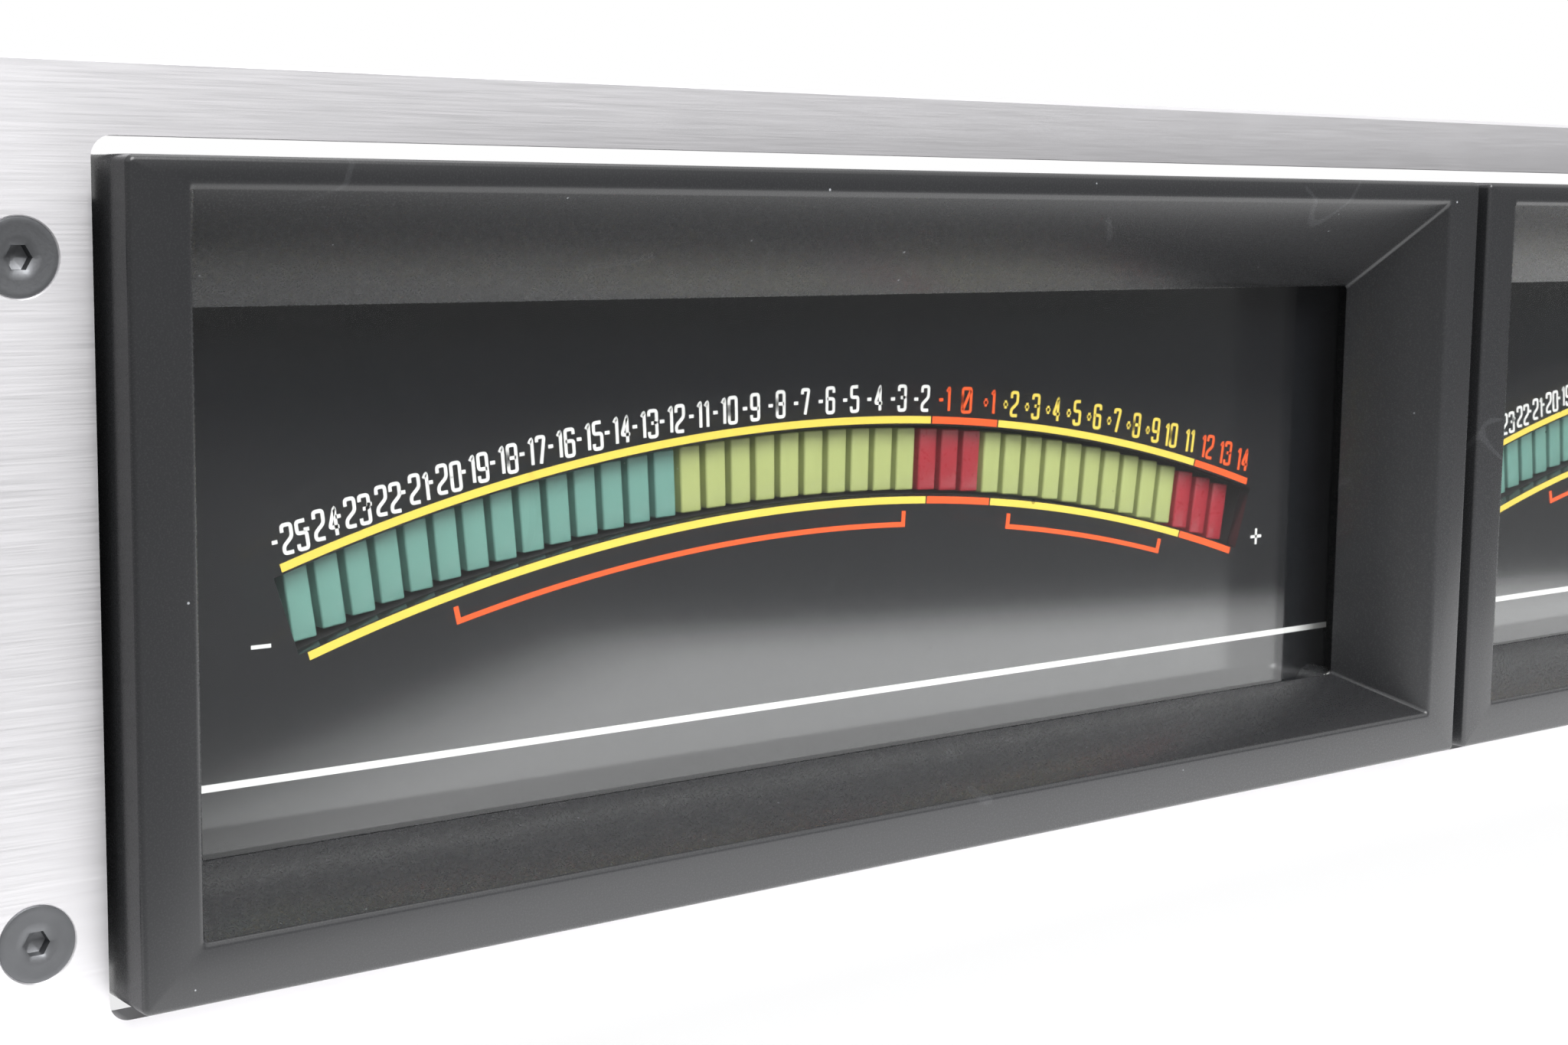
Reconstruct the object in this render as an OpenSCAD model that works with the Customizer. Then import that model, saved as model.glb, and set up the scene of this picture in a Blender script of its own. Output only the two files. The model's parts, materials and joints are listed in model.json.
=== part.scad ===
// Twin LED bar-graph level meter for a 19-inch rack.
// X runs along the panel, Y runs back into the rack and Z is up. The origin is the
// centre of the four rack slots, on the back face of the panel.
// Modules of one meter are drawn about the middle of its bezel and placed by at_meter().

/* [Rack panel] */
// Width of the rack panel
panel_w = 482.6; // [450:0.1:560]
// Height of the panel, two rack units
panel_h = 88.1; // [86:0.1:110]
// Thickness of the panel
panel_t = 3.2; // [2.6:0.1:5]
// Cut on the panel's front edges
panel_edge = 0.35; // [0.1:0.05:0.8]
// Distance between slot centres across the panel
slot_span = 465.1; // [430:0.1:540]
// Distance between slot centres up the panel
slot_rise = 76.2; // [44:0.1:90]
// End-to-end length of a rack slot
slot_len = 10.3; // [7:0.1:14]
// Width of a rack slot
slot_w = 6.9; // [5:0.1:8]
// Clearance round the two bezels at the sides of the cutout
cutout_gap_x = 1.0; // [0.5:0.1:2]
// Clearance above and below the bezels
cutout_gap_z = 1.5; // [0.5:0.1:3]
// Corner radius of the cutout
cutout_r = 1.8; // [0.5:0.1:4]
// Height of the meters' middle above the panel's middle
meter_lift = 0.9; // [0:0.1:2]

/* [Bezel] */
// Width of one bezel
bezel_w = 175.8; // [140:0.1:180]
// Height of one bezel
bezel_h = 71; // [60:0.1:74]
// Gap between the two bezels
bezel_gap = 2; // [1:0.1:6]
// How far the bezel stands out in front of the panel
bezel_proud = 4.6; // [2:0.1:10]
// How far the bezel's skirt reaches behind the panel
skirt_depth = 22; // [18:0.5:30]
// Wall of the bezel moulding
bezel_wall = 2.2; // [1.6:0.1:3]
// Cut on the bezel's front edges
bezel_edge = 0.5; // [0.1:0.05:1]
// Flat rim at the sides of the bezel
rim_side = 5.5; // [3:0.1:8]
// Flat rim above the recess
rim_top = 2.4; // [2:0.1:6]
// Flat rim below the recess
rim_bottom = 5.3; // [3:0.1:8]
// Depth of the sloped recess behind the rim
slope_depth = 11.9; // [8:0.1:16]
// Inset of the side slopes
slope_side = 4.6; // [2:0.1:8]
// Inset of the top slope
slope_top = 10.6; // [4:0.1:14]
// Inset of the bottom slope
slope_bottom = 3.8; // [2:0.1:8]

/* [Scale] */
// Thickness of the clear window behind the slopes
window_t = 1.5; // [1:0.1:3]
// Distance from the back edge of the slopes to the scale plate
plate_setback = 5.7; // [3:0.1:8]
// Thickness of the scale plate
plate_t = 1.5; // [1:0.1:3]
// Half of the angle that the row of bars covers
arc_half = 18; // [12:0.5:22]
// Distance from the window's side to the end of the scale arc
arc_margin = 11.6; // [6:0.1:20]
// Distance from the window's top to the top of the scale arc
arc_drop = 13.7; // [8:0.1:20]
// Height of one bar
bar_h = 7; // [4:0.1:9]
// Gap between neighbouring bars
bar_gap = 0.75; // [0.3:0.05:1.2]
// Share of its place on the arc by which each bar leans
bar_lean = 0.5; // [0:0.05:1]
// Distance from the front of the plate to the faces of the bars
bar_setback = 2; // [1.6:0.1:4]
// Depth of a bar's moulded body
bar_d = 6; // [3:0.1:7]

/* [Case] */
// Depth of a meter case behind the panel
case_back = 150; // [135:1:220]
// Thickness of the case sheet
sheet_t = 1.2; // [0.8:0.1:1.5]
// Thickness of the circuit boards
board_t = 1.6; // [1:0.1:2.4]
// Height of the standoffs under the main board
standoff_h = 6; // [4:0.5:10]
// Depth of the cover's side lips
lip_h = 12; // [8:0.5:16]

/* [Rear fittings] */
// Radius of the input connector's barrel
input_r = 11.2; // [10:0.1:12]
// Depth of the input connector behind the rear panel
input_d = 22; // [16:0.5:26]
// Width of the mains inlet's body
inlet_w = 27.2; // [24:0.1:30]
// Height of the mains inlet's body
inlet_h = 19.8; // [18:0.1:24]
// Radius of the fuse holder's body
fuse_r = 6.3; // [5.6:0.1:8]
// Radius of the switch bushing
switch_r = 3; // [2.8:0.1:4]
// Length of the switch lever outside its pivot
lever_len = 13; // [10:0.5:18]
// Radius of the trimmer's bushing
trim_r = 4.5; // [4:0.1:6]
// Travel of the input connector's release tab
latch_travel = 2; // [1:0.1:2.5]

/* [Hidden] */

$fn = 48;
// Overshoot of a cut past the face it opens
past = 1;
// Clearance between sheets and mouldings that slide together
slip = 0.2;
// Radial clearance of a screw or bush in its hole
hole_gap = 0.1;
// Radial running clearance of a turning stem in its bore
run_gap = 0.05;

// Meters
meter_pitch = bezel_w + bezel_gap;
bezel_front = -panel_t - bezel_proud;
window_y = bezel_front + slope_depth;
rim_x = bezel_w / 2 - rim_side;
rim_up = bezel_h / 2 - rim_top;
rim_down = -bezel_h / 2 + rim_bottom;
window_x = rim_x - slope_side;
window_up = rim_up - slope_top;
window_down = rim_down + slope_bottom;
cutout_w = 2 * bezel_w + bezel_gap + 2 * cutout_gap_x;
cutout_h = bezel_h + 2 * cutout_gap_z;

// Case shells, measured from the middle of the meter
skirt_x = bezel_w / 2 - bezel_wall;
skirt_z = bezel_h / 2 - bezel_wall;
cover_x = skirt_x - 0.3;
cover_z = skirt_z - slip;
shell_x = cover_x - sheet_t - 0.1;
shell_in_x = shell_x - sheet_t;
floor_z = -cover_z + sheet_t;
ceiling_z = cover_z - sheet_t;
case_front = skirt_depth - 9;
rear_in = case_back - sheet_t;

// Scale plate, bars and display board
plate_y = window_y + plate_setback;
plate_back = plate_y + plate_t;
plate_x = shell_in_x - 0.3;
plate_z = skirt_z - 1.6;
bar_face = plate_y + bar_setback;
bar_back = bar_face + bar_d;
display_y = bar_back + 2.2;
display_back = display_y + board_t;
bar_count = 40;
bar_step = 2 * arc_half / bar_count;
line_r = (window_x - arc_margin) / sin(arc_half);
arc_z = window_up - arc_drop - line_r;
line_h = 0.8;
slot_out_r = line_r - line_h / 2 - slip;
slot_in_r = slot_out_r - bar_h - 0.75;
bar_r = slot_out_r - bar_h / 2 - 0.45;
bar_w = bar_r * bar_step * PI / 180 - bar_gap;
holder_rim = 2.6;
green_bars = [0 : 13];
yellow_bars = [for (i = [0 : bar_count - 1]) if ((i > 13 && i < 24) || (i > 26 && i < 37)) i];
red_bars = [24, 25, 26, 37, 38, 39];
lead_w = 0.5;
lead_pitch = 2.54;

// Posts that carry the scale plate and the display board
boss_r = 2.8;
boss_x = plate_x - boss_r - 0.2;
boss_z = min(ceiling_z - boss_r - 0.1, -window_down + boss_r - 0.2);
post_r = 1.5;

// Bezel screws through the skirt and the floor of the case
bezel_screw_x = boss_x - 17.6;
bezel_screw_y = skirt_depth - 4.5;
bezel_screw_tip = -plate_z + 0.8;

// Panel screws and side brackets
bracket_t = 2;
bracket_in = bezel_w + bezel_gap / 2 + 1.8;
screw_x = bezel_w + bezel_gap / 2 + 7.1;
screw_z = 28.1;
screw_head_r = 3.3;
screw_head_h = 1.8;
screw_r = 1.5;
bracket_out = screw_x + 10;
bracket_h = 66;
jog_y = skirt_depth + 5;
bracket_back = jog_y + 34;
bracket_screw_y = jog_y + 20;
bracket_screw_z = 14;
bracket_screw_drop = -6;
case_wall_x = meter_pitch / 2 + shell_x;

// Spacer bar between the cases
spacer_x = meter_pitch / 2 - shell_x;
spacer_y0 = 62;
spacer_y1 = 122;
spacer_h = 30;
spacer_drop = -6;
bolt_r = 2;
bolt_ys = [spacer_y0 + 10, spacer_y1 - 10];

// Screws, rear tabs and cooling slots of the case
lid_screw_ys = [50, case_back - 22];
lid_screw_z = cover_z - lip_h / 2 - 0.5;
tab_depth = 12;
tab_screw_z = [-20, 10];
vent_pitch = 9;
vent_w = 3;
vent_l = 24;
vent_x0 = 4;
vent_count = floor((shell_in_x - 10) / vent_pitch) + 1;

// Rear fittings, measured from the middle of the meter
fitting_z = -4;
fitting_screw_r = 1.3;
flange_t = 2;
flange_back = case_back + flange_t;
input_lip = 1.2;
input_back = flange_back + input_lip;
groove_r = input_r - 1.7;
groove_front = case_back - 12;
insert_r = 7.4;
tab_w = 9;
tab_h = 2.6;
tab_z = input_r + 0.3 + tab_h / 2;
input_flange_w = 2 * input_r + 3.6;
input_flange_h = 2 * tab_z + tab_h + 2.8;
input_hole_x = input_flange_w / 2 - 3;
input_hole_z = input_flange_h / 2 - 3;
switch_nut_r = switch_r + 1.6;
pivot_y = case_back + 4;
bush_back = case_back + 8;
trim_body_r = trim_r + 3.5;
trim_back = case_back + 3.5;
cap_face = case_back + 2.4;
cap_stem_r = fuse_r - 1.5;
fuse_flange_r = fuse_r + 2;
fuse_front = rear_in - 24;
inlet_front = rear_in - 17;
inlet_wall = 1.5;
inlet_hole_x = inlet_w / 2 + 6.4;
inlet_flange_w = 2 * inlet_hole_x + 9;
inlet_back = flange_back + 1;
cavity_front = rear_in - 13;
blade_w = 2;
blade_h = 4;

// The fittings stand in a row between the side walls and share the width that they leave
row_w = input_flange_w + 2 * (switch_nut_r + trim_body_r + fuse_flange_r) + inlet_flange_w;
row_share = (2 * shell_in_x - row_w) / 49;
input_x = -shell_in_x + 13.9 * row_share + input_flange_w / 2;
switch_x = input_x + input_flange_w / 2 + 7.4 * row_share + switch_nut_r;
trim_x = switch_x + switch_nut_r + 6.4 * row_share + trim_body_r;
fuse_x = trim_x + trim_body_r + 7.7 * row_share + fuse_flange_r;
inlet_x = fuse_x + fuse_flange_r + 5.2 * row_share + inlet_flange_w / 2;

// Main board and what stands on it
signal_wire_r = 1.6;
mains_wire_r = 1.1;
board_z = floor_z + standoff_h;
board_top = board_z + board_t;
board_x = shell_in_x - 5;
board_y0 = 28;
board_y1 = 90;
header_w = 27;
header_t = 5;
header_h = min(8.5, fitting_z - 4 * signal_wire_r - 1 - board_top);
header_z = board_top + 10.3;
header_y = display_back + 10;
ribbon_w = 25;
ribbon_t = 0.9;
ribbon_bend = 3;
chip_w = 19.2;
chip_l = 6.4;
chip_h = 3.6;
chip_out = min(54, board_x - chip_w / 2 - 1);
chip_in = chip_out - chip_w - 0.8;
chip_ys = [40, 56];

// Transformer, clear of the inlet and the fuse holder behind it
core_x = 40;
core_w = 48;
core_h = 40;
core_d = 16;
leg_w = 16;
coil_d = 26;
core_y = min(106, inlet_front - coil_d / 2 - 1.5, fuse_front - core_d / 2 - 1.5);

// Places a meter's pieces: -1 is the left meter and 1 the right one, seen from the front
module at_meter(side) {
    translate([side * meter_pitch / 2, 0, meter_lift]) children();
}

// Puts a copy in each meter
module each_meter() {
    for (side = [-1, 1]) at_meter(side) children();
}

// Puts a copy at each corner of a rectangle in the X-Z plane
module at_corners(dx, dz) {
    for (sx = [-1, 1], sz = [-1, 1]) translate([sx * dx, 0, sz * dz]) children();
}

// Extrudes an outline in [y, z] along X
module along_x(length) {
    rotate([90, 0, 90]) translate([0, 0, -length / 2]) linear_extrude(length) children();
}

// Extrudes an outline in [x, y] along Z
module along_z(length) {
    translate([0, 0, -length / 2]) linear_extrude(length) children();
}

// Round bar along Y
module rod_y(r, y0, y1) {
    translate([0, y0, 0]) rotate([-90, 0, 0]) cylinder(r = r, h = y1 - y0);
}

// Round bar along X
module rod_x(r, x0, x1) {
    translate([x0, 0, 0]) rotate([0, 90, 0]) cylinder(r = r, h = x1 - x0);
}

// Taper along Y
module cone_y(r0, r1, y0, y1) {
    translate([0, y0, 0]) rotate([-90, 0, 0]) cylinder(r1 = r0, r2 = r1, h = y1 - y0);
}

// Block centred in X and Z
module block(w, h, y0, y1) {
    translate([-w / 2, y0, -h / 2]) cube([w, y1 - y0, h]);
}

// Block between two corners
module span(low, high) {
    translate(low) cube(high - low);
}

// Block whose front edges are cut at 45 degrees
module cut_edge_block(w, h, front, back, cut) {
    intersection() {
        along_z(h) polygon([
            [-w / 2, back], [-w / 2, front + cut], [-w / 2 + cut, front],
            [w / 2 - cut, front], [w / 2, front + cut], [w / 2, back]
        ]);
        along_x(w) polygon([
            [back, -h / 2], [front + cut, -h / 2], [front, -h / 2 + cut],
            [front, h / 2 - cut], [front + cut, h / 2], [back, h / 2]
        ]);
    }
}

// Sector of a ring about the scale's centre, lying in the X-Z plane
module ring_sector(r_in, r_out, half, y0, y1) {
    reach = r_out + 10;
    translate([0, 0, arc_z]) intersection() {
        difference() {
            rod_y(r_out, y0, y1, $fn = 360);
            rod_y(r_in, y0 - past, y1 + past, $fn = 360);
        }
        translate([0, y1 + past, 0]) rotate([90, 0, 0]) linear_extrude(y1 - y0 + 2 * past)
            polygon([[0, 0], [-reach * tan(half), reach], [reach * tan(half), reach]]);
    }
}

// Space of the sloped recess; grow gives the outside of its walls
module recess(grow, lead, tail) {
    intersection() {
        along_z(bezel_h) polygon([
            [-rim_x - grow, bezel_front - lead], [-rim_x - grow, bezel_front],
            [-window_x - grow, window_y], [-window_x - grow, window_y + tail],
            [window_x + grow, window_y + tail], [window_x + grow, window_y],
            [rim_x + grow, bezel_front], [rim_x + grow, bezel_front - lead]
        ]);
        along_x(bezel_w) polygon([
            [bezel_front - lead, rim_down - grow], [bezel_front, rim_down - grow],
            [window_y, window_down - grow], [window_y + tail, window_down - grow],
            [window_y + tail, window_up + grow], [window_y, window_up + grow],
            [bezel_front, rim_up + grow], [bezel_front - lead, rim_up + grow]
        ]);
    }
}

// Panel ---------------------------------------------------------------------------

module rack_slot() {
    half = (slot_len - slot_w) / 2;
    for (sx = [-1, 1]) translate([sx * half, 0, 0]) rod_y(slot_w / 2, -panel_t - past, past);
    block(2 * half, slot_w, -panel_t - past, past);
}

module cutout() {
    translate([0, 0, meter_lift]) {
        block(cutout_w, cutout_h - 2 * cutout_r, -panel_t - past, past);
        block(cutout_w - 2 * cutout_r, cutout_h, -panel_t - past, past);
        at_corners(cutout_w / 2 - cutout_r, cutout_h / 2 - cutout_r)
            rod_y(cutout_r, -panel_t - past, past);
    }
}

module front_panel() {
    color([0.84, 0.83, 0.84]) difference() {
        cut_edge_block(panel_w, panel_h, -panel_t, 0, panel_edge);
        cutout();
        at_corners(slot_span / 2, slot_rise / 2) rack_slot();
        at_corners(screw_x, screw_z) {
            rod_y(screw_r + hole_gap, -panel_t - past, past);
            cone_y(screw_head_r + hole_gap, screw_r + hole_gap, -panel_t, -panel_t + screw_head_h);
        }
    }
}

module panel_screw() {
    socket_r = 1.15;
    difference() {
        union() {
            cone_y(screw_head_r, screw_r, -panel_t, -panel_t + screw_head_h);
            rod_y(screw_r, -panel_t + 1, bracket_t + 4);
        }
        rod_y(socket_r, -panel_t - past, -panel_t + 1.3, $fn = 6);
    }
}

module panel_screws() {
    color([0.2, 0.21, 0.23]) at_corners(screw_x, screw_z) panel_screw();
}

// Brackets ------------------------------------------------------------------------

// Bent bracket on the outer side of a meter; side is -1 or 1
module side_bracket(side) {
    hole_r = screw_r + hole_gap;
    leaf_h = 44;
    leaf_z = meter_lift + bracket_screw_drop;
    color([0.68, 0.69, 0.7]) mirror([side < 0 ? 1 : 0, 0, 0]) difference() {
        union() {
            span([bracket_in, 0, -bracket_h / 2], [bracket_out, bracket_t, bracket_h / 2]);
            span([bracket_in, 0, -bracket_h / 2], [bracket_in + bracket_t, jog_y, bracket_h / 2]);
            span([case_wall_x, jog_y - bracket_t, leaf_z - leaf_h / 2],
                [bracket_in + bracket_t, jog_y, leaf_z + leaf_h / 2]);
            span([case_wall_x, jog_y - bracket_t, leaf_z - leaf_h / 2],
                [case_wall_x + bracket_t, bracket_back, leaf_z + leaf_h / 2]);
        }
        for (sz = [-1, 1]) {
            translate([screw_x, 0, sz * screw_z]) rod_y(hole_r, -past, bracket_t + past);
            translate([0, bracket_screw_y, leaf_z + sz * bracket_screw_z])
                rod_x(hole_r, case_wall_x - past, case_wall_x + bracket_t + past);
        }
    }
}

// Pan-head screw along X whose head sits at x = 0 and whose shank runs to -length
module side_screw(length, head_r = 2.8, head_h = 1.8, r = screw_r) {
    difference() {
        union() {
            rod_x(head_r, 0, head_h);
            rod_x(r, -length, head_h / 2);
        }
        rod_x(1.1, head_h / 2, head_h + past, $fn = 6);
    }
}

// Bar that joins the two cases between their inner walls
module centre_spacer() {
    color([0.7, 0.71, 0.73]) translate([0, 0, meter_lift + spacer_drop]) difference() {
        span([-spacer_x, spacer_y0, -spacer_h / 2], [spacer_x, spacer_y1, spacer_h / 2]);
        for (y = bolt_ys) translate([0, y, 0])
            rod_x(bolt_r + hole_gap, -spacer_x - past, spacer_x + past);
    }
}

// Bolt with its nut, through the spacer bar and both case walls
module spacer_bolt() {
    reach = spacer_x + sheet_t;
    rod_x(3.4, -reach - 2.4, -reach);
    rod_x(bolt_r, -reach - 1, reach + 4);
    difference() {
        rod_x(4, reach, reach + 3, $fn = 6);
        rod_x(bolt_r + run_gap, reach - past, reach + 3 + past);
    }
}

// Screw through a display board, its spacer and the plate into a boss of the bezel
module display_screw() {
    difference() {
        union() {
            rod_y(2.6, display_back, display_back + 1.8);
            rod_y(post_r, plate_y - 5, display_back + 0.9);
        }
        rod_y(1.1, display_back + 0.9, display_back + 1.8 + past, $fn = 6);
    }
}

// Screws of the side brackets and display boards, and bolts of the spacer bar
module inner_screws() {
    color([0.55, 0.56, 0.58]) translate([0, 0, meter_lift]) {
        for (side = [-1, 1]) translate([side * meter_pitch / 2, 0, 0])
            at_corners(boss_x, boss_z) display_screw();
        for (side = [0, 1], sz = [-1, 1]) mirror([side, 0, 0])
            translate([case_wall_x + bracket_t, bracket_screw_y, bracket_screw_drop + sz * bracket_screw_z])
                side_screw(bracket_t + sheet_t + 3);
        for (y = bolt_ys) translate([0, y, spacer_drop]) spacer_bolt();
    }
}

// Bezel and scale -----------------------------------------------------------------

module bezel() {
    color([0.13, 0.135, 0.14]) difference() {
        union() {
            difference() {
                cut_edge_block(bezel_w, bezel_h, bezel_front, skirt_depth, bezel_edge);
                block(2 * skirt_x, 2 * skirt_z, bezel_front + bezel_wall, skirt_depth + past);
            }
            recess(bezel_wall, 0, 0);
            at_corners(boss_x, boss_z) rod_y(boss_r, bezel_front + bezel_wall / 2, plate_y);
        }
        recess(0, past, plate_setback + past);
        at_corners(boss_x, boss_z) rod_y(post_r + run_gap, plate_y - 6, plate_y + past);
        for (sx = [-1, 1]) translate([sx * bezel_screw_x, bezel_screw_y, -bezel_h / 2 - past])
            cylinder(r = screw_r + hole_gap, h = bezel_wall + 2 * past);
    }
}

// Clear windows that lie on the back edges of the slopes, clear of the bosses
module windows() {
    lap = bezel_wall - 0.4;
    color([0.7, 0.72, 0.74, 0.4]) each_meter() difference() {
        span([-window_x - lap, window_y, window_down - lap],
            [window_x + lap, window_y + window_t, window_up + lap]);
        at_corners(boss_x, boss_z) rod_y(boss_r + hole_gap, window_y - past, window_y + window_t + past);
    }
}

module scale_plate() {
    color([0.1, 0.105, 0.115]) difference() {
        block(2 * plate_x, 2 * plate_z, plate_y, plate_back);
        ring_sector(slot_in_r, slot_out_r, arc_half + 0.25, plate_y - past, plate_back + past);
        at_corners(boss_x, boss_z) rod_y(post_r + hole_gap, plate_y - past, plate_back + past);
    }
}

module bar_holder() {
    color([0.08, 0.08, 0.085]) difference() {
        ring_sector(slot_in_r - holder_rim, slot_out_r + holder_rim, arc_half + 1,
            plate_back, display_y);
        ring_sector(slot_in_r, slot_out_r, arc_half + 0.25, plate_back - past, display_y + past);
    }
}

// One bar: a rectangular lamp with two leads that end on the display board
module bar(index) {
    angle = -arc_half + bar_step * (index + 0.5);
    x = bar_r * sin(angle);
    z = arc_z + bar_r * cos(angle);
    translate([x, 0, z]) rotate([0, bar_lean * angle, 0]) {
        block(bar_w, bar_h, bar_face, bar_back);
        for (sz = [-1, 1]) translate([0, 0, sz * lead_pitch / 2])
            block(lead_w, lead_w, bar_back - 0.5, display_y);
    }
}

module bars_green() {
    color([0.33, 0.52, 0.47]) each_meter() for (i = green_bars) bar(i);
}

module bars_yellow() {
    color([0.6, 0.64, 0.36]) each_meter() for (i = yellow_bars) bar(i);
}

module bars_red() {
    color([0.62, 0.13, 0.17]) each_meter() for (i = red_bars) bar(i);
}

module display_board() {
    color([0.1, 0.28, 0.16]) difference() {
        block(2 * plate_x, 2 * plate_z - 2, display_y, display_back);
        at_corners(boss_x, boss_z) rod_y(post_r + hole_gap, display_y - past, display_back + past);
    }
}

module display_spacers() {
    color([0.75, 0.72, 0.6]) each_meter() at_corners(boss_x, boss_z) difference() {
        rod_y(boss_r - 0.1, plate_back, display_y);
        rod_y(post_r + hole_gap, plate_back - past, display_y + past);
    }
}

// Inside the case -----------------------------------------------------------------

// Headers: one behind the display board and three on the main board
module board_connectors() {
    color([0.15, 0.15, 0.16]) each_meter() {
        translate([0, 0, header_z]) block(header_w, 6, display_back, display_back + header_t);
        translate([0, 0, board_top]) {
            span([-header_w / 2, header_y - 3, 0], [header_w / 2, header_y + 3, header_t]);
            span([input_x - 6, board_y1 - 9, 0], [input_x + 6, board_y1 - 3, header_h]);
            span([fuse_x - 5, board_y1 - 9, 0], [fuse_x + 5, board_y1 - 3, header_h]);
        }
    }
}

// Flat cable that runs back from the display board and turns down to the main board
module ribbon_cable() {
    run_y = header_y - ribbon_t / 2 - ribbon_bend;
    run_z = header_z + ribbon_t / 2;
    color([0.62, 0.63, 0.66]) {
        span([-ribbon_w / 2, display_back + header_t, header_z - ribbon_t / 2],
            [ribbon_w / 2, run_y + 0.01, run_z]);
        translate([0, run_y, run_z - ribbon_bend - ribbon_t]) rotate([0, 90, 0])
            rotate([0, 0, 90]) translate([0, 0, -ribbon_w / 2])
                rotate_extrude(angle = 90) translate([ribbon_bend, 0]) square([ribbon_t, ribbon_w]);
        span([-ribbon_w / 2, run_y + ribbon_bend, board_top + header_t],
            [ribbon_w / 2, run_y + ribbon_bend + ribbon_t, run_z - ribbon_bend - ribbon_t + 0.01]);
    }
}

module main_board() {
    color([0.1, 0.28, 0.16]) difference() {
        span([-board_x, board_y0, board_z], [board_x, board_y1, board_top]);
        standoff_places() cylinder(r = screw_r + hole_gap, h = board_t + 2 * past);
    }
}

// Puts a copy 1 mm under the main board at each of its screws
module standoff_places() {
    for (sx = [-1, 1], y = [board_y0 + 5, board_y1 - 15])
        translate([sx * (board_x - 5), y, board_z - past]) children();
}

// Hexagonal standoffs, each with its screw through the board
module board_standoffs() {
    color([0.75, 0.72, 0.6]) each_meter() standoff_places() translate([0, 0, past]) {
        translate([0, 0, -standoff_h]) cylinder(r = 3.2, h = standoff_h, $fn = 6);
        translate([0, 0, -0.5]) cylinder(r = screw_r, h = board_t + 1);
        translate([0, 0, board_t]) cylinder(r = 2.8, h = 1.8);
    }
}

// Integrated circuits in two rows on the main board
module board_chips() {
    color([0.09, 0.09, 0.1]) each_meter()
        for (sx = [-1, 1], x = [chip_in, chip_out], y = chip_ys) translate([sx * x, y, board_top])
            span([-chip_w / 2, -chip_l / 2, 0], [chip_w / 2, chip_l / 2, chip_h]);
}

// Smoothing and coupling capacitors on the main board
module capacitors() {
    color([0.16, 0.2, 0.34]) each_meter() {
        for (x = [-34, -14]) translate([x, 74, board_top]) cylinder(r = 8, h = 24);
        for (sx = [-1, 1], dx = [14, 26]) translate([sx * (chip_in - dx), 55, board_top])
            cylinder(r = 3.2, h = 11);
    }
}

// Wire that runs forward from the rear and turns down to the main board
module wire_drop(x, y_back, y_drop, z_top, z_bottom, r) {
    bend = 4 * r;
    translate([x, 0, z_top]) rod_y(r, y_drop + bend, y_back);
    translate([x, y_drop + bend, z_top - bend]) rotate([0, 90, 0]) rotate([0, 0, -180])
        rotate_extrude(angle = 90) translate([bend, 0]) circle(r = r);
    translate([x, y_drop, z_bottom]) cylinder(r = r, h = z_top - bend - z_bottom);
}

module signal_wires() {
    color([0.3, 0.3, 0.32]) each_meter()
        wire_drop(input_x, rear_in - input_d, board_y1 - 6, fitting_z,
            board_top + header_h, signal_wire_r);
}

module mains_wires() {
    color([0.5, 0.35, 0.2]) each_meter() {
        wire_drop(fuse_x, fuse_front, board_y1 - 6, fitting_z, board_top + header_h, mains_wire_r);
        for (dx = [-12, -5]) translate([inlet_x + dx, 0, fitting_z])
            rod_y(mains_wire_r, core_y + coil_d / 2, inlet_front);
    }
}

// Laminated core with two windows either side of the centre leg
module transformer_core() {
    window_w = (core_w - 2 * leg_w) / 2;
    color([0.42, 0.42, 0.44]) translate([core_x, core_y, floor_z + core_h / 2]) difference() {
        block(core_w, core_h, -core_d / 2, core_d / 2);
        for (sx = [-1, 1]) translate([sx * (leg_w + window_w) / 2, 0, 0])
            block(window_w, core_h - leg_w, -core_d / 2 - past, core_d / 2 + past);
    }
}

module transformer_coil() {
    coil_w = core_w - leg_w - 2 * slip;
    color([0.72, 0.6, 0.3]) translate([core_x, core_y, floor_z + core_h / 2]) difference() {
        block(coil_w, core_h - leg_w - 2 * slip, -coil_d / 2, coil_d / 2);
        span([-leg_w / 2 - slip, -core_d / 2 - slip, -core_h],
            [leg_w / 2 + slip, core_d / 2 + slip, core_h]);
    }
}

// Case shells ---------------------------------------------------------------------

// U-shaped lower shell
module case_bottom() {
    color([0.2, 0.2, 0.21]) difference() {
        span([-shell_x, case_front, -cover_z], [shell_x, case_back, ceiling_z - slip]);
        span([-shell_in_x, case_front - past, floor_z], [shell_in_x, case_back + past, cover_z]);
        for (y = lid_screw_ys) translate([0, y, lid_screw_z])
            rod_x(screw_r + hole_gap, -shell_x - past, shell_x + past);
        for (z = tab_screw_z) translate([0, rear_in - tab_depth / 2, z])
            rod_x(screw_r + hole_gap, -shell_x - past, shell_x + past);
        for (sz = [-1, 1]) translate([0, bracket_screw_y, bracket_screw_drop + sz * bracket_screw_z])
            rod_x(screw_r + hole_gap, -shell_x - past, shell_x + past);
        for (y = bolt_ys) translate([0, y, spacer_drop])
            rod_x(bolt_r + hole_gap, -shell_x - past, shell_x + past);
        for (sx = [-1, 1]) translate([sx * bezel_screw_x, bezel_screw_y, -cover_z - past])
            cylinder(r = screw_r + hole_gap, h = sheet_t + 2 * past);
    }
}

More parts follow.
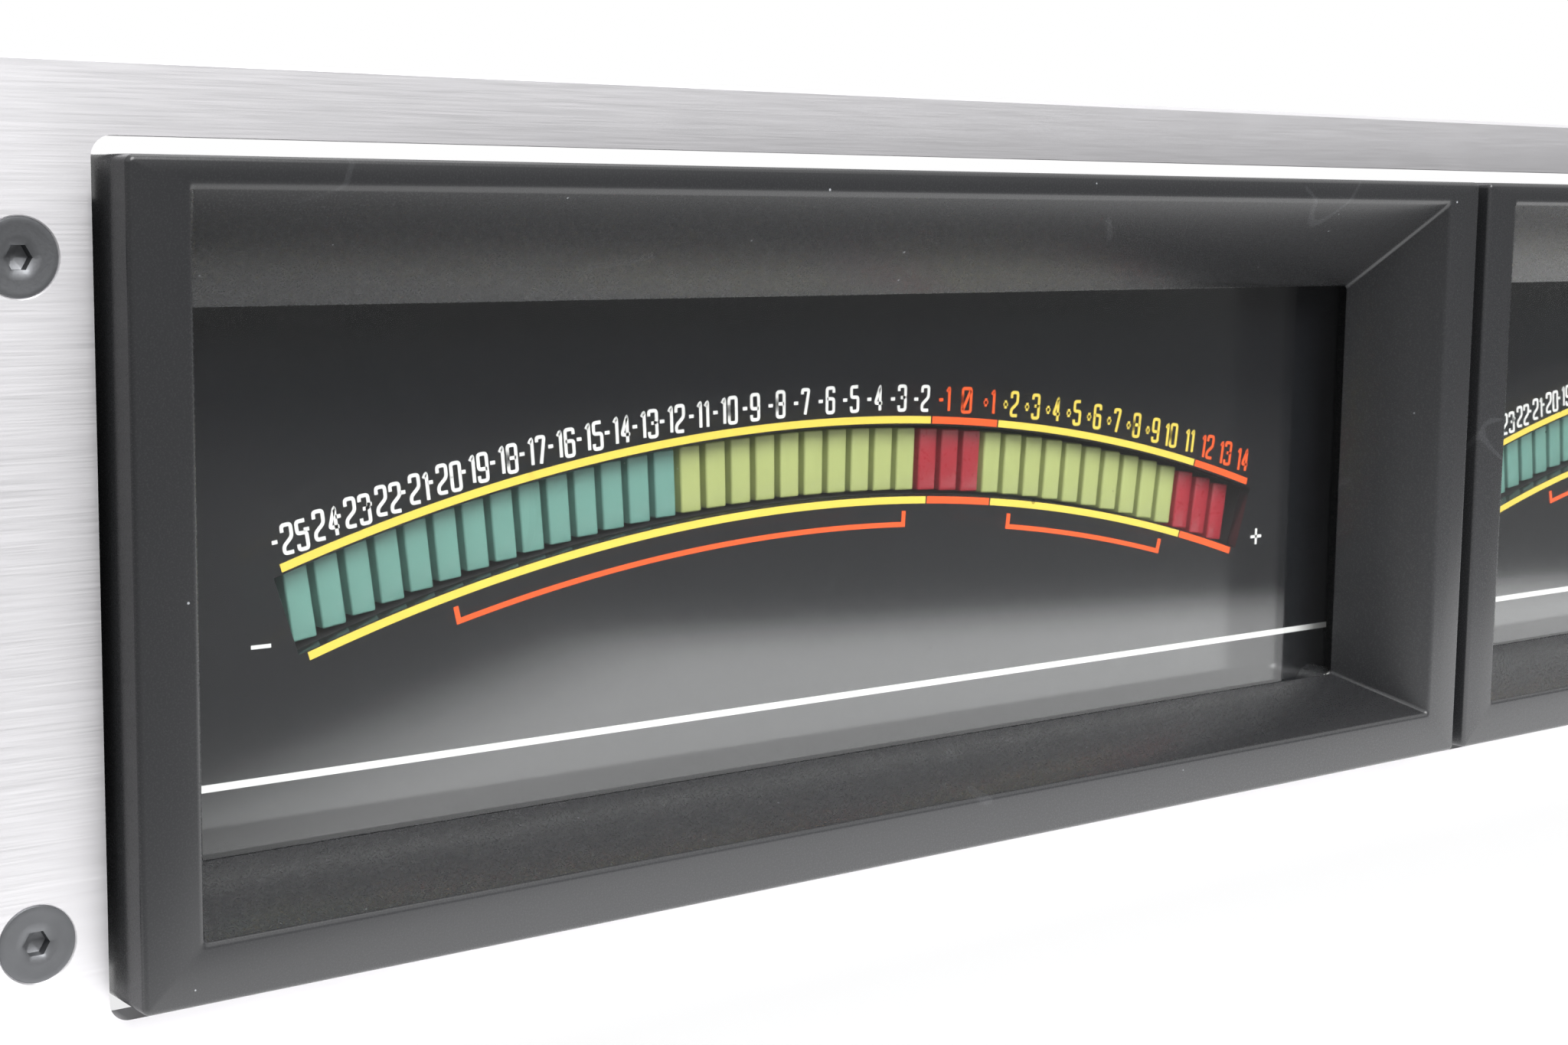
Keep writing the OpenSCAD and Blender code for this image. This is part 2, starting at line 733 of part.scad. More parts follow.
// Cover with turned-down lips and two rows of cooling slots
module case_top() {
    color([0.2, 0.2, 0.21]) difference() {
        span([-cover_x, case_front, cover_z - lip_h], [cover_x, case_back, cover_z]);
        span([-shell_x - 0.1, case_front - past, cover_z - lip_h - past],
            [shell_x + 0.1, case_back + past, ceiling_z]);
        for (y = lid_screw_ys) translate([0, y, lid_screw_z])
            rod_x(screw_r + hole_gap, -cover_x - past, cover_x + past);
        for (sx = [-1, 1], i = [0 : vent_count - 1])
            translate([sx * (vent_x0 + i * vent_pitch), 80, ceiling_z - past])
                span([-vent_w / 2, 0, 0], [vent_w / 2, vent_l, sheet_t + 2 * past]);
    }
}

// Rear wall with its turned-in side tabs and the holes for the fittings
module rear_panel() {
    half_w = shell_in_x - slip;
    color([0.22, 0.22, 0.23]) difference() {
        union() {
            span([-half_w, rear_in, floor_z], [half_w, case_back, ceiling_z - slip]);
            for (sx = [-1, 1]) translate([sx * (half_w - sheet_t / 2), 0, 0])
                span([-sheet_t / 2, rear_in - tab_depth, floor_z + 4], [sheet_t / 2, case_back, 20]);
        }
        for (z = tab_screw_z) translate([0, rear_in - tab_depth / 2, z])
            rod_x(screw_r + hole_gap, -half_w - past, half_w + past);
        translate([input_x, 0, fitting_z]) {
            rod_y(input_r + hole_gap, rear_in - past, case_back + past);
            translate([0, 0, tab_z]) block(tab_w + 0.6, tab_h + 0.6, rear_in - past, case_back + past);
        }
        translate([switch_x, 0, fitting_z])
            rod_y(switch_r + hole_gap, rear_in - past, case_back + past);
        translate([trim_x, 0, fitting_z]) rod_y(trim_r + hole_gap, rear_in - past, case_back + past);
        translate([fuse_x, 0, fitting_z]) rod_y(fuse_r + hole_gap, rear_in - past, case_back + past);
        translate([inlet_x, 0, fitting_z])
            block(inlet_w + 2 * slip, inlet_h + 2 * slip, rear_in - past, case_back + past);
        fitting_screw_places() rod_y(fitting_screw_r + hole_gap, rear_in - past, case_back + past);
    }
}

// Puts a copy at each screw of the input connector and the mains inlet
module fitting_screw_places() {
    for (s = [-1, 1]) translate([input_x + s * input_hole_x, 0, fitting_z - s * input_hole_z]) children();
    for (s = [-1, 1]) translate([inlet_x + s * inlet_hole_x, 0, fitting_z]) children();
}

// Screws of the covers, rear walls, bezels and rear fittings
module case_screws() {
    color([0.15, 0.15, 0.16]) each_meter() {
        for (side = [0, 1]) mirror([side, 0, 0]) {
            for (y = lid_screw_ys) translate([cover_x, y, lid_screw_z])
                side_screw(2 * sheet_t + 2, 2.8, 1.6);
            for (z = tab_screw_z) translate([shell_x, rear_in - tab_depth / 2, z])
                side_screw(2 * sheet_t + 2, 2.6, 1.6);
            translate([bezel_screw_x, bezel_screw_y, -bezel_h / 2]) {
                translate([0, 0, -1.3]) cylinder(r = 2.8, h = 1.3);
                translate([0, 0, -0.5]) cylinder(r = screw_r, h = bezel_h / 2 + bezel_screw_tip + 0.5);
            }
        }
        for (s = [-1, 1]) {
            translate([input_x + s * input_hole_x, 0, fitting_z - s * input_hole_z])
                fitting_screw(flange_back);
            translate([inlet_x + s * inlet_hole_x, 0, fitting_z]) fitting_screw(inlet_back);
        }
    }
}

// Small pan-head screw along Y, its head standing on the face at y
module fitting_screw(y) {
    difference() {
        union() {
            rod_y(2.2, y, y + 1.5);
            rod_y(fitting_screw_r, rear_in - 3, y + 0.7);
        }
        rod_y(0.95, y + 0.7, y + 1.5 + past, $fn = 6);
    }
}

// Rear fittings -------------------------------------------------------------------

// Shell of the round three-pole socket, with its rectangular flange
module input_connector() {
    color([0.25, 0.25, 0.27]) translate([input_x, 0, fitting_z]) difference() {
        union() {
            block(input_flange_w, input_flange_h, case_back, flange_back);
            rod_y(input_r, rear_in - input_d, input_back);
        }
        rod_y(groove_r, groove_front, input_back + past);
        translate([0, 0, tab_z]) block(tab_w + 0.3, tab_h + 0.3, case_back - past, flange_back + past);
        for (s = [-1, 1]) translate([s * input_hole_x, 0, -s * input_hole_z])
            rod_y(fitting_screw_r + hole_gap, case_back - past, flange_back + past);
    }
}

// Inserts of the sockets, each with three contact holes, standing on the shells' floors
module input_inserts() {
    contact_ring = 3.6;
    color([0.1, 0.1, 0.11]) each_meter() translate([input_x, 0, fitting_z]) difference() {
        rod_y(insert_r, groove_front, input_back);
        for (a = [30, 150, 270]) translate([contact_ring * cos(a), 0, contact_ring * sin(a)])
            rod_y(1.3, groove_front + 1, input_back + past);
    }
}

// Tab that is pressed in to let a plug go
module release_tab() {
    color([0.75, 0.75, 0.77]) translate([input_x, 0, fitting_z + tab_z]) {
        block(tab_w, tab_h, rear_in - 3, flange_back + latch_travel + 1);
        block(tab_w + 3, tab_h, rear_in - 3, rear_in - 0.6);
    }
}

// Toggle switch: body, threaded bushing and hexagonal nut
module mode_switch() {
    color([0.2, 0.25, 0.5]) translate([switch_x, 0, fitting_z]) difference() {
        union() {
            block(8, 13, rear_in - 10, rear_in);
            rod_y(switch_r, rear_in - 1, bush_back);
            rod_y(switch_nut_r, case_back, case_back + 2, $fn = 6);
        }
        rod_y(switch_r - 0.7, pivot_y - 4, bush_back + past);
    }
}

// Lever of the toggle switch, on the ball it tilts about
module switch_lever() {
    ball_r = switch_r - 0.7 - run_gap;
    color([0.8, 0.8, 0.82]) translate([switch_x, pivot_y, fitting_z]) {
        sphere(r = ball_r);
        cone_y(1.0, 1.5, 0, lever_len);
        translate([0, lever_len, 0]) sphere(r = 1.5);
    }
}

// Level trimmer: body, bushing and nut round a bored seat for the rotor
module trimmer() {
    color([0.3, 0.3, 0.32]) translate([trim_x, 0, fitting_z]) difference() {
        union() {
            rod_y(trim_body_r, rear_in - 9, rear_in);
            rod_y(trim_r, rear_in - 1, trim_back);
            rod_y(trim_r + 1.9, case_back, case_back + 2, $fn = 6);
        }
        rod_y(trim_r - 1.5 + run_gap, rear_in - 6, trim_back + past);
    }
}

// Rotor of the trimmer, with a screwdriver slot
module trimmer_rotor() {
    end_y = trim_back + 1.4;
    color([0.85, 0.83, 0.75]) translate([trim_x, 0, fitting_z]) difference() {
        rod_y(trim_r - 1.5, rear_in - 5.9, end_y);
        block(0.9, 2 * trim_r, end_y - 1.2, end_y + past);
    }
}

module fuse_holder() {
    color([0.1, 0.1, 0.11]) translate([fuse_x, 0, fitting_z]) difference() {
        union() {
            rod_y(fuse_r, fuse_front, case_back + 1);
            rod_y(fuse_flange_r, case_back, flange_back);
        }
        rod_y(cap_stem_r + run_gap, fuse_front + 3, flange_back + past);
    }
}

// Bayonet cap of the fuse holder: a ribbed knob on a plain stem
module fuse_cap() {
    knob_r = fuse_r + 0.4;
    knob_back = cap_face + 7;
    ribs = 12;
    color([0.1, 0.1, 0.11]) translate([fuse_x, 0, fitting_z]) difference() {
        union() {
            rod_y(cap_stem_r, fuse_front + 3.2, cap_face + 1);
            rod_y(knob_r, cap_face, knob_back);
        }
        for (i = [0 : ribs - 1]) rotate([0, i * 360 / ribs, 0]) translate([knob_r + 0.35, 0, 0])
            rod_y(0.8, cap_face + 1.5, knob_back + past);
        block(1.4, 2 * knob_r + 2, knob_back - 1.6, knob_back + past);
    }
}

// Mains inlet with a screwed flange
module mains_inlet() {
    color([0.09, 0.09, 0.1]) translate([inlet_x, 0, fitting_z]) difference() {
        union() {
            block(inlet_flange_w, inlet_h + 3, case_back, inlet_back);
            block(inlet_w, inlet_h, inlet_front, inlet_back);
        }
        block(inlet_w - 2 * inlet_wall, inlet_h - 2 * inlet_wall, cavity_front, inlet_back + past);
        for (s = [-1, 1]) translate([s * inlet_hole_x, 0, 0])
            rod_y(fitting_screw_r + hole_gap, case_back - past, inlet_back + past);
    }
}

// Three blades of each mains inlet, standing on the floor of its cavity
module inlet_blades() {
    color([0.78, 0.77, 0.74]) each_meter() translate([inlet_x, 0, fitting_z])
        for (p = [[-7, -2], [7, -2], [0, 2]]) translate([p[0], 0, p[1]])
            block(blade_w, blade_h, cavity_front, case_back - 0.5);
}

// Drawing -------------------------------------------------------------------------

front_panel();
panel_screws();
side_bracket(-1);  // side_bracket_left
side_bracket(1);  // side_bracket_right
inner_screws();
centre_spacer();
bars_green();
bars_yellow();
bars_red();
case_screws();
board_standoffs();
windows();
display_spacers();
board_chips();
board_connectors();
capacitors();
signal_wires();
mains_wires();
input_inserts();
inlet_blades();
at_meter(-1) bezel();  // bezel_left
at_meter(1) bezel();  // bezel_right
at_meter(-1) scale_plate();  // scale_plate_left
at_meter(1) scale_plate();  // scale_plate_right
at_meter(-1) bar_holder();  // bar_holder_left
at_meter(1) bar_holder();  // bar_holder_right
at_meter(-1) display_board();  // display_board_left
at_meter(1) display_board();  // display_board_right
at_meter(-1) ribbon_cable();  // ribbon_cable_left
at_meter(1) ribbon_cable();  // ribbon_cable_right
at_meter(-1) main_board();  // main_board_left
at_meter(1) main_board();  // main_board_right
at_meter(-1) case_bottom();  // case_bottom_left
at_meter(1) case_bottom();  // case_bottom_right
at_meter(-1) case_top();  // case_top_left
at_meter(1) case_top();  // case_top_right
at_meter(-1) rear_panel();  // rear_panel_left
at_meter(1) rear_panel();  // rear_panel_right
at_meter(-1) input_connector();  // input_connector_left
at_meter(1) input_connector();  // input_connector_right
at_meter(-1) release_tab();  // release_tab_left
at_meter(1) release_tab();  // release_tab_right
at_meter(-1) mode_switch();  // mode_switch_left
at_meter(1) mode_switch();  // mode_switch_right
at_meter(-1) switch_lever();  // switch_lever_left
at_meter(1) switch_lever();  // switch_lever_right
at_meter(-1) trimmer();  // trimmer_left
at_meter(1) trimmer();  // trimmer_right
at_meter(-1) trimmer_rotor();  // trimmer_rotor_left
at_meter(1) trimmer_rotor();  // trimmer_rotor_right
at_meter(-1) fuse_holder();  // fuse_holder_left
at_meter(1) fuse_holder();  // fuse_holder_right
at_meter(-1) fuse_cap();  // fuse_cap_left
at_meter(1) fuse_cap();  // fuse_cap_right
at_meter(-1) mains_inlet();  // mains_inlet_left
at_meter(1) mains_inlet();  // mains_inlet_right
at_meter(-1) transformer_core();  // transformer_core_left
at_meter(1) transformer_core();  // transformer_core_right
at_meter(-1) transformer_coil();  // transformer_coil_left
at_meter(1) transformer_coil();  // transformer_coil_right
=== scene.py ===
"""Looks of a twin bar-graph level meter for a 19-inch rack.

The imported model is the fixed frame. This script dresses its nodes, and adds what the
construction leaves plain: bezels with rounded edges, lamps, printed scales and screw heads.
Lengths are metres, X runs along the panel, Y back into the rack and Z up.
"""

import json
import logging
import math
from collections.abc import Callable, Iterable, Sequence
from dataclasses import dataclass, field
from enum import Enum

import bmesh
import bpy
from mathutils import Matrix, Vector


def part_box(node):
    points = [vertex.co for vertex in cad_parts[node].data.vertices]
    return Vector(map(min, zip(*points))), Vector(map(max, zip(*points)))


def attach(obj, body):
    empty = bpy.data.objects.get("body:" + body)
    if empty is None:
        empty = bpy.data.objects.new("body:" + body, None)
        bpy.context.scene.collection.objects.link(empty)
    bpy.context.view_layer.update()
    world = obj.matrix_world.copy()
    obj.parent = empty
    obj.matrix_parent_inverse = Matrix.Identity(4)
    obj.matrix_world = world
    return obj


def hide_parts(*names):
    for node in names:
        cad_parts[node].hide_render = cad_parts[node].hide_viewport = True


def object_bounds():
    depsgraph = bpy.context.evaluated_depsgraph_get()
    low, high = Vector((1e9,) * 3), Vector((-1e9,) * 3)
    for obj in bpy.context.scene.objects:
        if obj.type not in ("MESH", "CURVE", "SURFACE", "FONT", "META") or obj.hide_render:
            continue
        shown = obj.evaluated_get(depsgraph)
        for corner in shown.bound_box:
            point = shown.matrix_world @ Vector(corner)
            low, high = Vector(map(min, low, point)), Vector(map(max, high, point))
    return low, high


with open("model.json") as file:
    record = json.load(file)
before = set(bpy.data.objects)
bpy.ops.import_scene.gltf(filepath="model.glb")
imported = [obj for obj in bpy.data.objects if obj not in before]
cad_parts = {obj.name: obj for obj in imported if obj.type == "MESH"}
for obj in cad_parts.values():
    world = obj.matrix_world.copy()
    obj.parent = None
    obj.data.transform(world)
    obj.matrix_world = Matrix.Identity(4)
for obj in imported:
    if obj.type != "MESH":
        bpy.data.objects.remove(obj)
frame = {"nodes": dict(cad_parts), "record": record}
CAD_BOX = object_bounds()

log = logging.getLogger("level_meter")
logging.basicConfig(level=logging.INFO, format="%(name)s: %(message)s")

MM = 0.001
Point = tuple[float, float]
Place = tuple[float, float, float]
Colour = tuple[float, float, float]


class Side(Enum):
    """Which of the two meters, seen from the front."""

    LEFT = "left"
    RIGHT = "right"


class Ink(Enum):
    """Colours of the printed scale."""

    WHITE = (0.86, 0.86, 0.84)
    YELLOW = (0.86, 0.66, 0.1)
    ORANGE = (0.95, 0.115, 0.02)


# Node trees -----------------------------------------------------------------------


class Tree:
    """A node tree, with short ways to add to it."""

    def __init__(self, tree: bpy.types.NodeTree) -> None:
        """Takes the tree."""
        self.tree = tree

    def link(self, start: bpy.types.NodeSocket, end: bpy.types.NodeSocket) -> None:
        """Links two sockets."""
        self.tree.links.new(start, end)

    def node(
        self, kind: str, values: dict[int | str, object] | None = None, **settings: object
    ) -> bpy.types.Node:
        """Adds a node.

        Args:
            kind: Type name of the node.
            values: For each input, a socket to link or a value to set.
            **settings: Properties of the node.

        Returns:
            The new node.
        """
        made = self.tree.nodes.new(kind)
        for key, value in settings.items():
            setattr(made, key, value)
        for key, value in (values or {}).items():
            if isinstance(value, bpy.types.NodeSocket):
                self.link(value, made.inputs[key])
            else:
                made.inputs[key].default_value = value
        return made

    def math(self, operation: str, *values: object) -> bpy.types.NodeSocket:
        """Adds a math node on sockets or numbers and gives its result."""
        return self.node("ShaderNodeMath", dict(enumerate(values)), operation=operation).outputs[0]

    def ramp(
        self, value: bpy.types.NodeSocket, low: Point, high: Point, kind: str = "LINEAR"
    ) -> bpy.types.NodeSocket:
        """Runs from one level to another as a value grows.

        Args:
            value: The value.
            low: Where the ramp starts, and its level there.
            high: Where the ramp ends, and its level there.
            kind: How it runs between them.

        Returns:
            The socket of the level.
        """
        limits = {
            "Value": value, "From Min": low[0], "To Min": low[1], "From Max": high[0], "To Max": high[1],
        }
        return self.node("ShaderNodeMapRange", limits, interpolation_type=kind).outputs["Result"]

    def between(self, share: object, first: object, second: object) -> bpy.types.NodeSocket:
        """Mixes two numbers and gives the result."""
        return self.node("ShaderNodeMix", {0: share, 2: first, 3: second}).outputs[0]

    def tinted(
        self, share: object, first: object, second: object, blend: str = "MIX"
    ) -> bpy.types.NodeSocket:
        """Mixes two colours.

        Args:
            share: A socket or number, the share of the second colour.
            first: A socket or a colour.
            second: A socket or a colour.
            blend: How they mix.

        Returns:
            The socket of the mixed colour.
        """
        colours = [(*c, 1.0) if isinstance(c, tuple) else c for c in (first, second)]
        values = {0: share, 6: colours[0], 7: colours[1]}
        return self.node("ShaderNodeMix", values, data_type="RGBA", blend_type=blend).outputs[2]

    def shaded(
        self, share: bpy.types.NodeSocket, first: bpy.types.NodeSocket, second: bpy.types.NodeSocket
    ) -> bpy.types.NodeSocket:
        """Mixes two shaders and gives the result."""
        return self.node("ShaderNodeMixShader", {0: share, 1: first, 2: second}).outputs[0]


class ShaderGroup(Tree):
    """A shader node group with named inputs and outputs, built once."""

    def __init__(self, name: str, inputs: dict[str, float], outputs: Sequence[str]) -> None:
        """Makes the empty group.

        Args:
            name: Name of the group.
            inputs: Default of each number that the group takes.
            outputs: Names of the values that it gives.
        """
        super().__init__(bpy.data.node_groups.new(name, "ShaderNodeTree"))
        face = self.tree.interface
        face.new_socket("Vector", in_out="INPUT", socket_type="NodeSocketVector")
        for label, value in inputs.items():
            face.new_socket(label, in_out="INPUT", socket_type="NodeSocketFloat").default_value = value
        for label in outputs:
            face.new_socket(label, in_out="OUTPUT", socket_type="NodeSocketFloat")
        self.given = self.node("NodeGroupInput").outputs
        self.end = self.node("NodeGroupOutput").inputs

    def noise(
        self, place: bpy.types.NodeSocket, scale: bpy.types.NodeSocket, **values: float
    ) -> bpy.types.NodeSocket:
        """Adds a noise texture and gives its value."""
        return self.node("ShaderNodeTexNoise", {"Vector": place, "Scale": scale, **values}).outputs["Fac"]


def grain_group() -> bpy.types.NodeTree:
    """Builds the group for fine grain, which long stretches turn into brush lines.

    Returns:
        The group, with outputs Grain (fine) and Cloud (coarse), each from 0 to 1.
    """
    group = ShaderGroup("Grain", {"Scale": 1000.0, "Stretch": 1.0, "Cloud scale": 25.0}, ("Grain", "Cloud"))
    given = group.given
    x, y, z = group.node("ShaderNodeSeparateXYZ", {0: given["Vector"]}).outputs
    drawn = group.node("ShaderNodeCombineXYZ", {0: group.math("DIVIDE", x, given["Stretch"]), 1: y, 2: z})
    group.link(group.noise(drawn.outputs[0], given["Scale"], Detail=4.0, Roughness=0.6), group.end["Grain"])
    group.link(group.noise(given["Vector"], given["Cloud scale"], Detail=3.0), group.end["Cloud"])
    return group.tree


def dust_group() -> bpy.types.NodeTree:
    """Builds the group for scattered dust specks.

    Returns:
        The group, whose Mask is 1 on a speck. Size is the speck's share of its cell.
    """
    group = ShaderGroup("Dust", {"Scale": 400.0, "Size": 0.12, "Share": 0.3}, ("Mask",))
    given = group.given
    place = {"Vector": given["Vector"], "Scale": given["Scale"]}
    cells = group.node("ShaderNodeTexVoronoi", place, feature="F1").outputs
    pick, spread, _ = group.node("ShaderNodeSeparateColor", {0: cells["Color"]}).outputs
    near = group.math("LESS_THAN", cells["Distance"], group.math("MULTIPLY", given["Size"], spread))
    chosen = group.math("LESS_THAN", pick, given["Share"])
    group.link(group.math("MULTIPLY", near, chosen), group.end["Mask"])
    return group.tree


def scratch_group() -> bpy.types.NodeTree:
    """Builds the group for hairline scratches.

    Returns:
        The group, whose Mask rises to 1 along thin wandering lines in a few patches.
    """
    group = ShaderGroup("Scratches", {"Scale": 30.0, "Width": 0.004, "Patches": 0.6}, ("Mask",))
    given = group.given
    lines = group.noise(given["Vector"], given["Scale"], Detail=0.0, Distortion=0.6)
    off = group.math("ABSOLUTE", group.math("SUBTRACT", lines, 0.5))
    thin = group.math("LESS_THAN", off, given["Width"])
    patches = group.noise(given["Vector"], group.math("MULTIPLY", given["Scale"], 2.3), Detail=1.0)
    some = group.math("GREATER_THAN", patches, given["Patches"])
    group.link(group.math("MULTIPLY", thin, some), group.end["Mask"])
    return group.tree


# Finishes -------------------------------------------------------------------------


class Groups:
    """The shader groups that the finishes share."""

    def __init__(self) -> None:
        """Builds each group once."""
        self.grain = grain_group()
        self.dust = dust_group()
        self.scratches = scratch_group()


@dataclass(frozen=True)
class Finish:
    """A finish: its uniform numbers, and how grain, dust and scratches vary it.

    Attributes:
        name: Name of the material.
        colour: Base colour, linear.
        roughness: Roughness at mid grain.
        metallic: 1 for bare metal.
        ior: Index of refraction.
        coat: Weight of a clear coat.
        coat_roughness: Roughness of that coat.
        grain_scale: Grain cells in a metre.
        grain_stretch: How many times longer than wide the grain is, along X.
        grain_bump: Height of the grain in metres.
        grain_rough: How far grain moves the roughness either way.
        tint: How far the coarse cloud darkens the colour.
        grain_tint: How far the fine grain darkens the colour.
        cloud_scale: Coarse patches in a metre.
        dust: Share of cells with a dust speck, 0 for none.
        dust_scale: Dust cells in a metre.
        dust_colour: Colour of a speck.
        scratches: How strongly hairlines show, 0 for none.
        anisotropic: Stretch of highlights across the brush lines.
    """

    name: str
    colour: Colour
    roughness: float = 0.4
    metallic: float = 0.0
    ior: float = 1.5
    coat: float = 0.0
    coat_roughness: float = 0.03
    grain_scale: float = 2500.0
    grain_stretch: float = 1.0
    grain_bump: float = 0.000004
    grain_rough: float = 0.06
    tint: float = 0.12
    grain_tint: float = 0.05
    cloud_scale: float = 40.0
    dust: float = 0.0
    dust_scale: float = 500.0
    dust_colour: Colour = (0.32, 0.33, 0.35)
    scratches: float = 0.0
    anisotropic: float = 0.0

    def build(self, groups: Groups) -> bpy.types.Material:
        """Makes the material.

        Args:
            groups: The shared shader groups.

        Returns:
            The node-based material.
        """
        material = bpy.data.materials.new(self.name)
        material.use_nodes = True
        tree = Tree(material.node_tree)
        shader = material.node_tree.nodes["Principled BSDF"]
        for label, value in (("Metallic", self.metallic), ("IOR", self.ior), ("Coat Weight", self.coat),
                             ("Coat Roughness", self.coat_roughness), ("Anisotropic", self.anisotropic)):
            shader.inputs[label].default_value = value
        place = tree.node("ShaderNodeTexCoord").outputs["Object"]
        grain = tree.node("ShaderNodeGroup", {
            "Vector": place, "Scale": self.grain_scale, "Stretch": self.grain_stretch,
            "Cloud scale": self.cloud_scale,
        }, node_tree=groups.grain).outputs

        dark = tuple(part * (1 - self.tint) for part in self.colour)
        base = tree.tinted(grain["Cloud"], dark, self.colour)
        shade = tree.tinted(grain["Grain"], (1 - self.grain_tint,) * 3, (1.0, 1.0, 1.0))
        base = tree.tinted(1.0, base, shade, "MULTIPLY")
        if self.scratches:
            marks = tree.node("ShaderNodeGroup", {"Vector": place}, node_tree=groups.scratches)
            faint = tree.math("MULTIPLY", marks.outputs["Mask"], self.scratches)
            base = tree.tinted(faint, base, self.dust_colour)
        if self.dust:
            specks = tree.node("ShaderNodeGroup", {
                "Vector": place, "Scale": self.dust_scale, "Share": self.dust,
            }, node_tree=groups.dust)
            base = tree.tinted(specks.outputs["Mask"], base, self.dust_colour)
        tree.link(base, shader.inputs["Base Color"])

        smooth = max(0.02, self.roughness - self.grain_rough)
        rough = min(1.0, self.roughness + self.grain_rough)
        tree.link(tree.ramp(grain["Grain"], (0.25, smooth), (0.75, rough)), shader.inputs["Roughness"])
        bump = tree.node("ShaderNodeBump", {"Distance": self.grain_bump, "Height": grain["Grain"]})
        tree.link(bump.outputs["Normal"], shader.inputs["Normal"])
        self.extra(tree, shader)
        return material

    def extra(self, tree: Tree, shader: bpy.types.Node) -> None:
        """Adds what one kind of finish needs beyond the rest; nothing here."""


@dataclass(frozen=True)
class BrushedSheet(Finish):
    """Metal brushed along X, whose highlights spread up and down."""

    def extra(self, tree: Tree, shader: bpy.types.Node) -> None:
        """Lays the highlight's tangent across the brush lines."""
        tree.link(tree.node("ShaderNodeCombineXYZ", {2: 1.0}).outputs[0], shader.inputs["Tangent"])


@dataclass(frozen=True)
class ClearSheet(Finish):
    """Clear polished plastic, which lets lamps shine through it."""

    def extra(self, tree: Tree, shader: bpy.types.Node) -> None:
        """Makes the shader clear, and its shadow with it.

        Args:
            tree: The material's tree.
            shader: Its main shader.
        """
        shader.inputs["Transmission Weight"].default_value = 1.0
        clear = tree.node("ShaderNodeBsdfTransparent").outputs[0]
        shadow = tree.node("ShaderNodeLightPath").outputs["Is Shadow Ray"]
        out = tree.tree.nodes["Material Output"]
        tree.link(tree.shaded(shadow, shader.outputs[0], clear), out.inputs["Surface"])


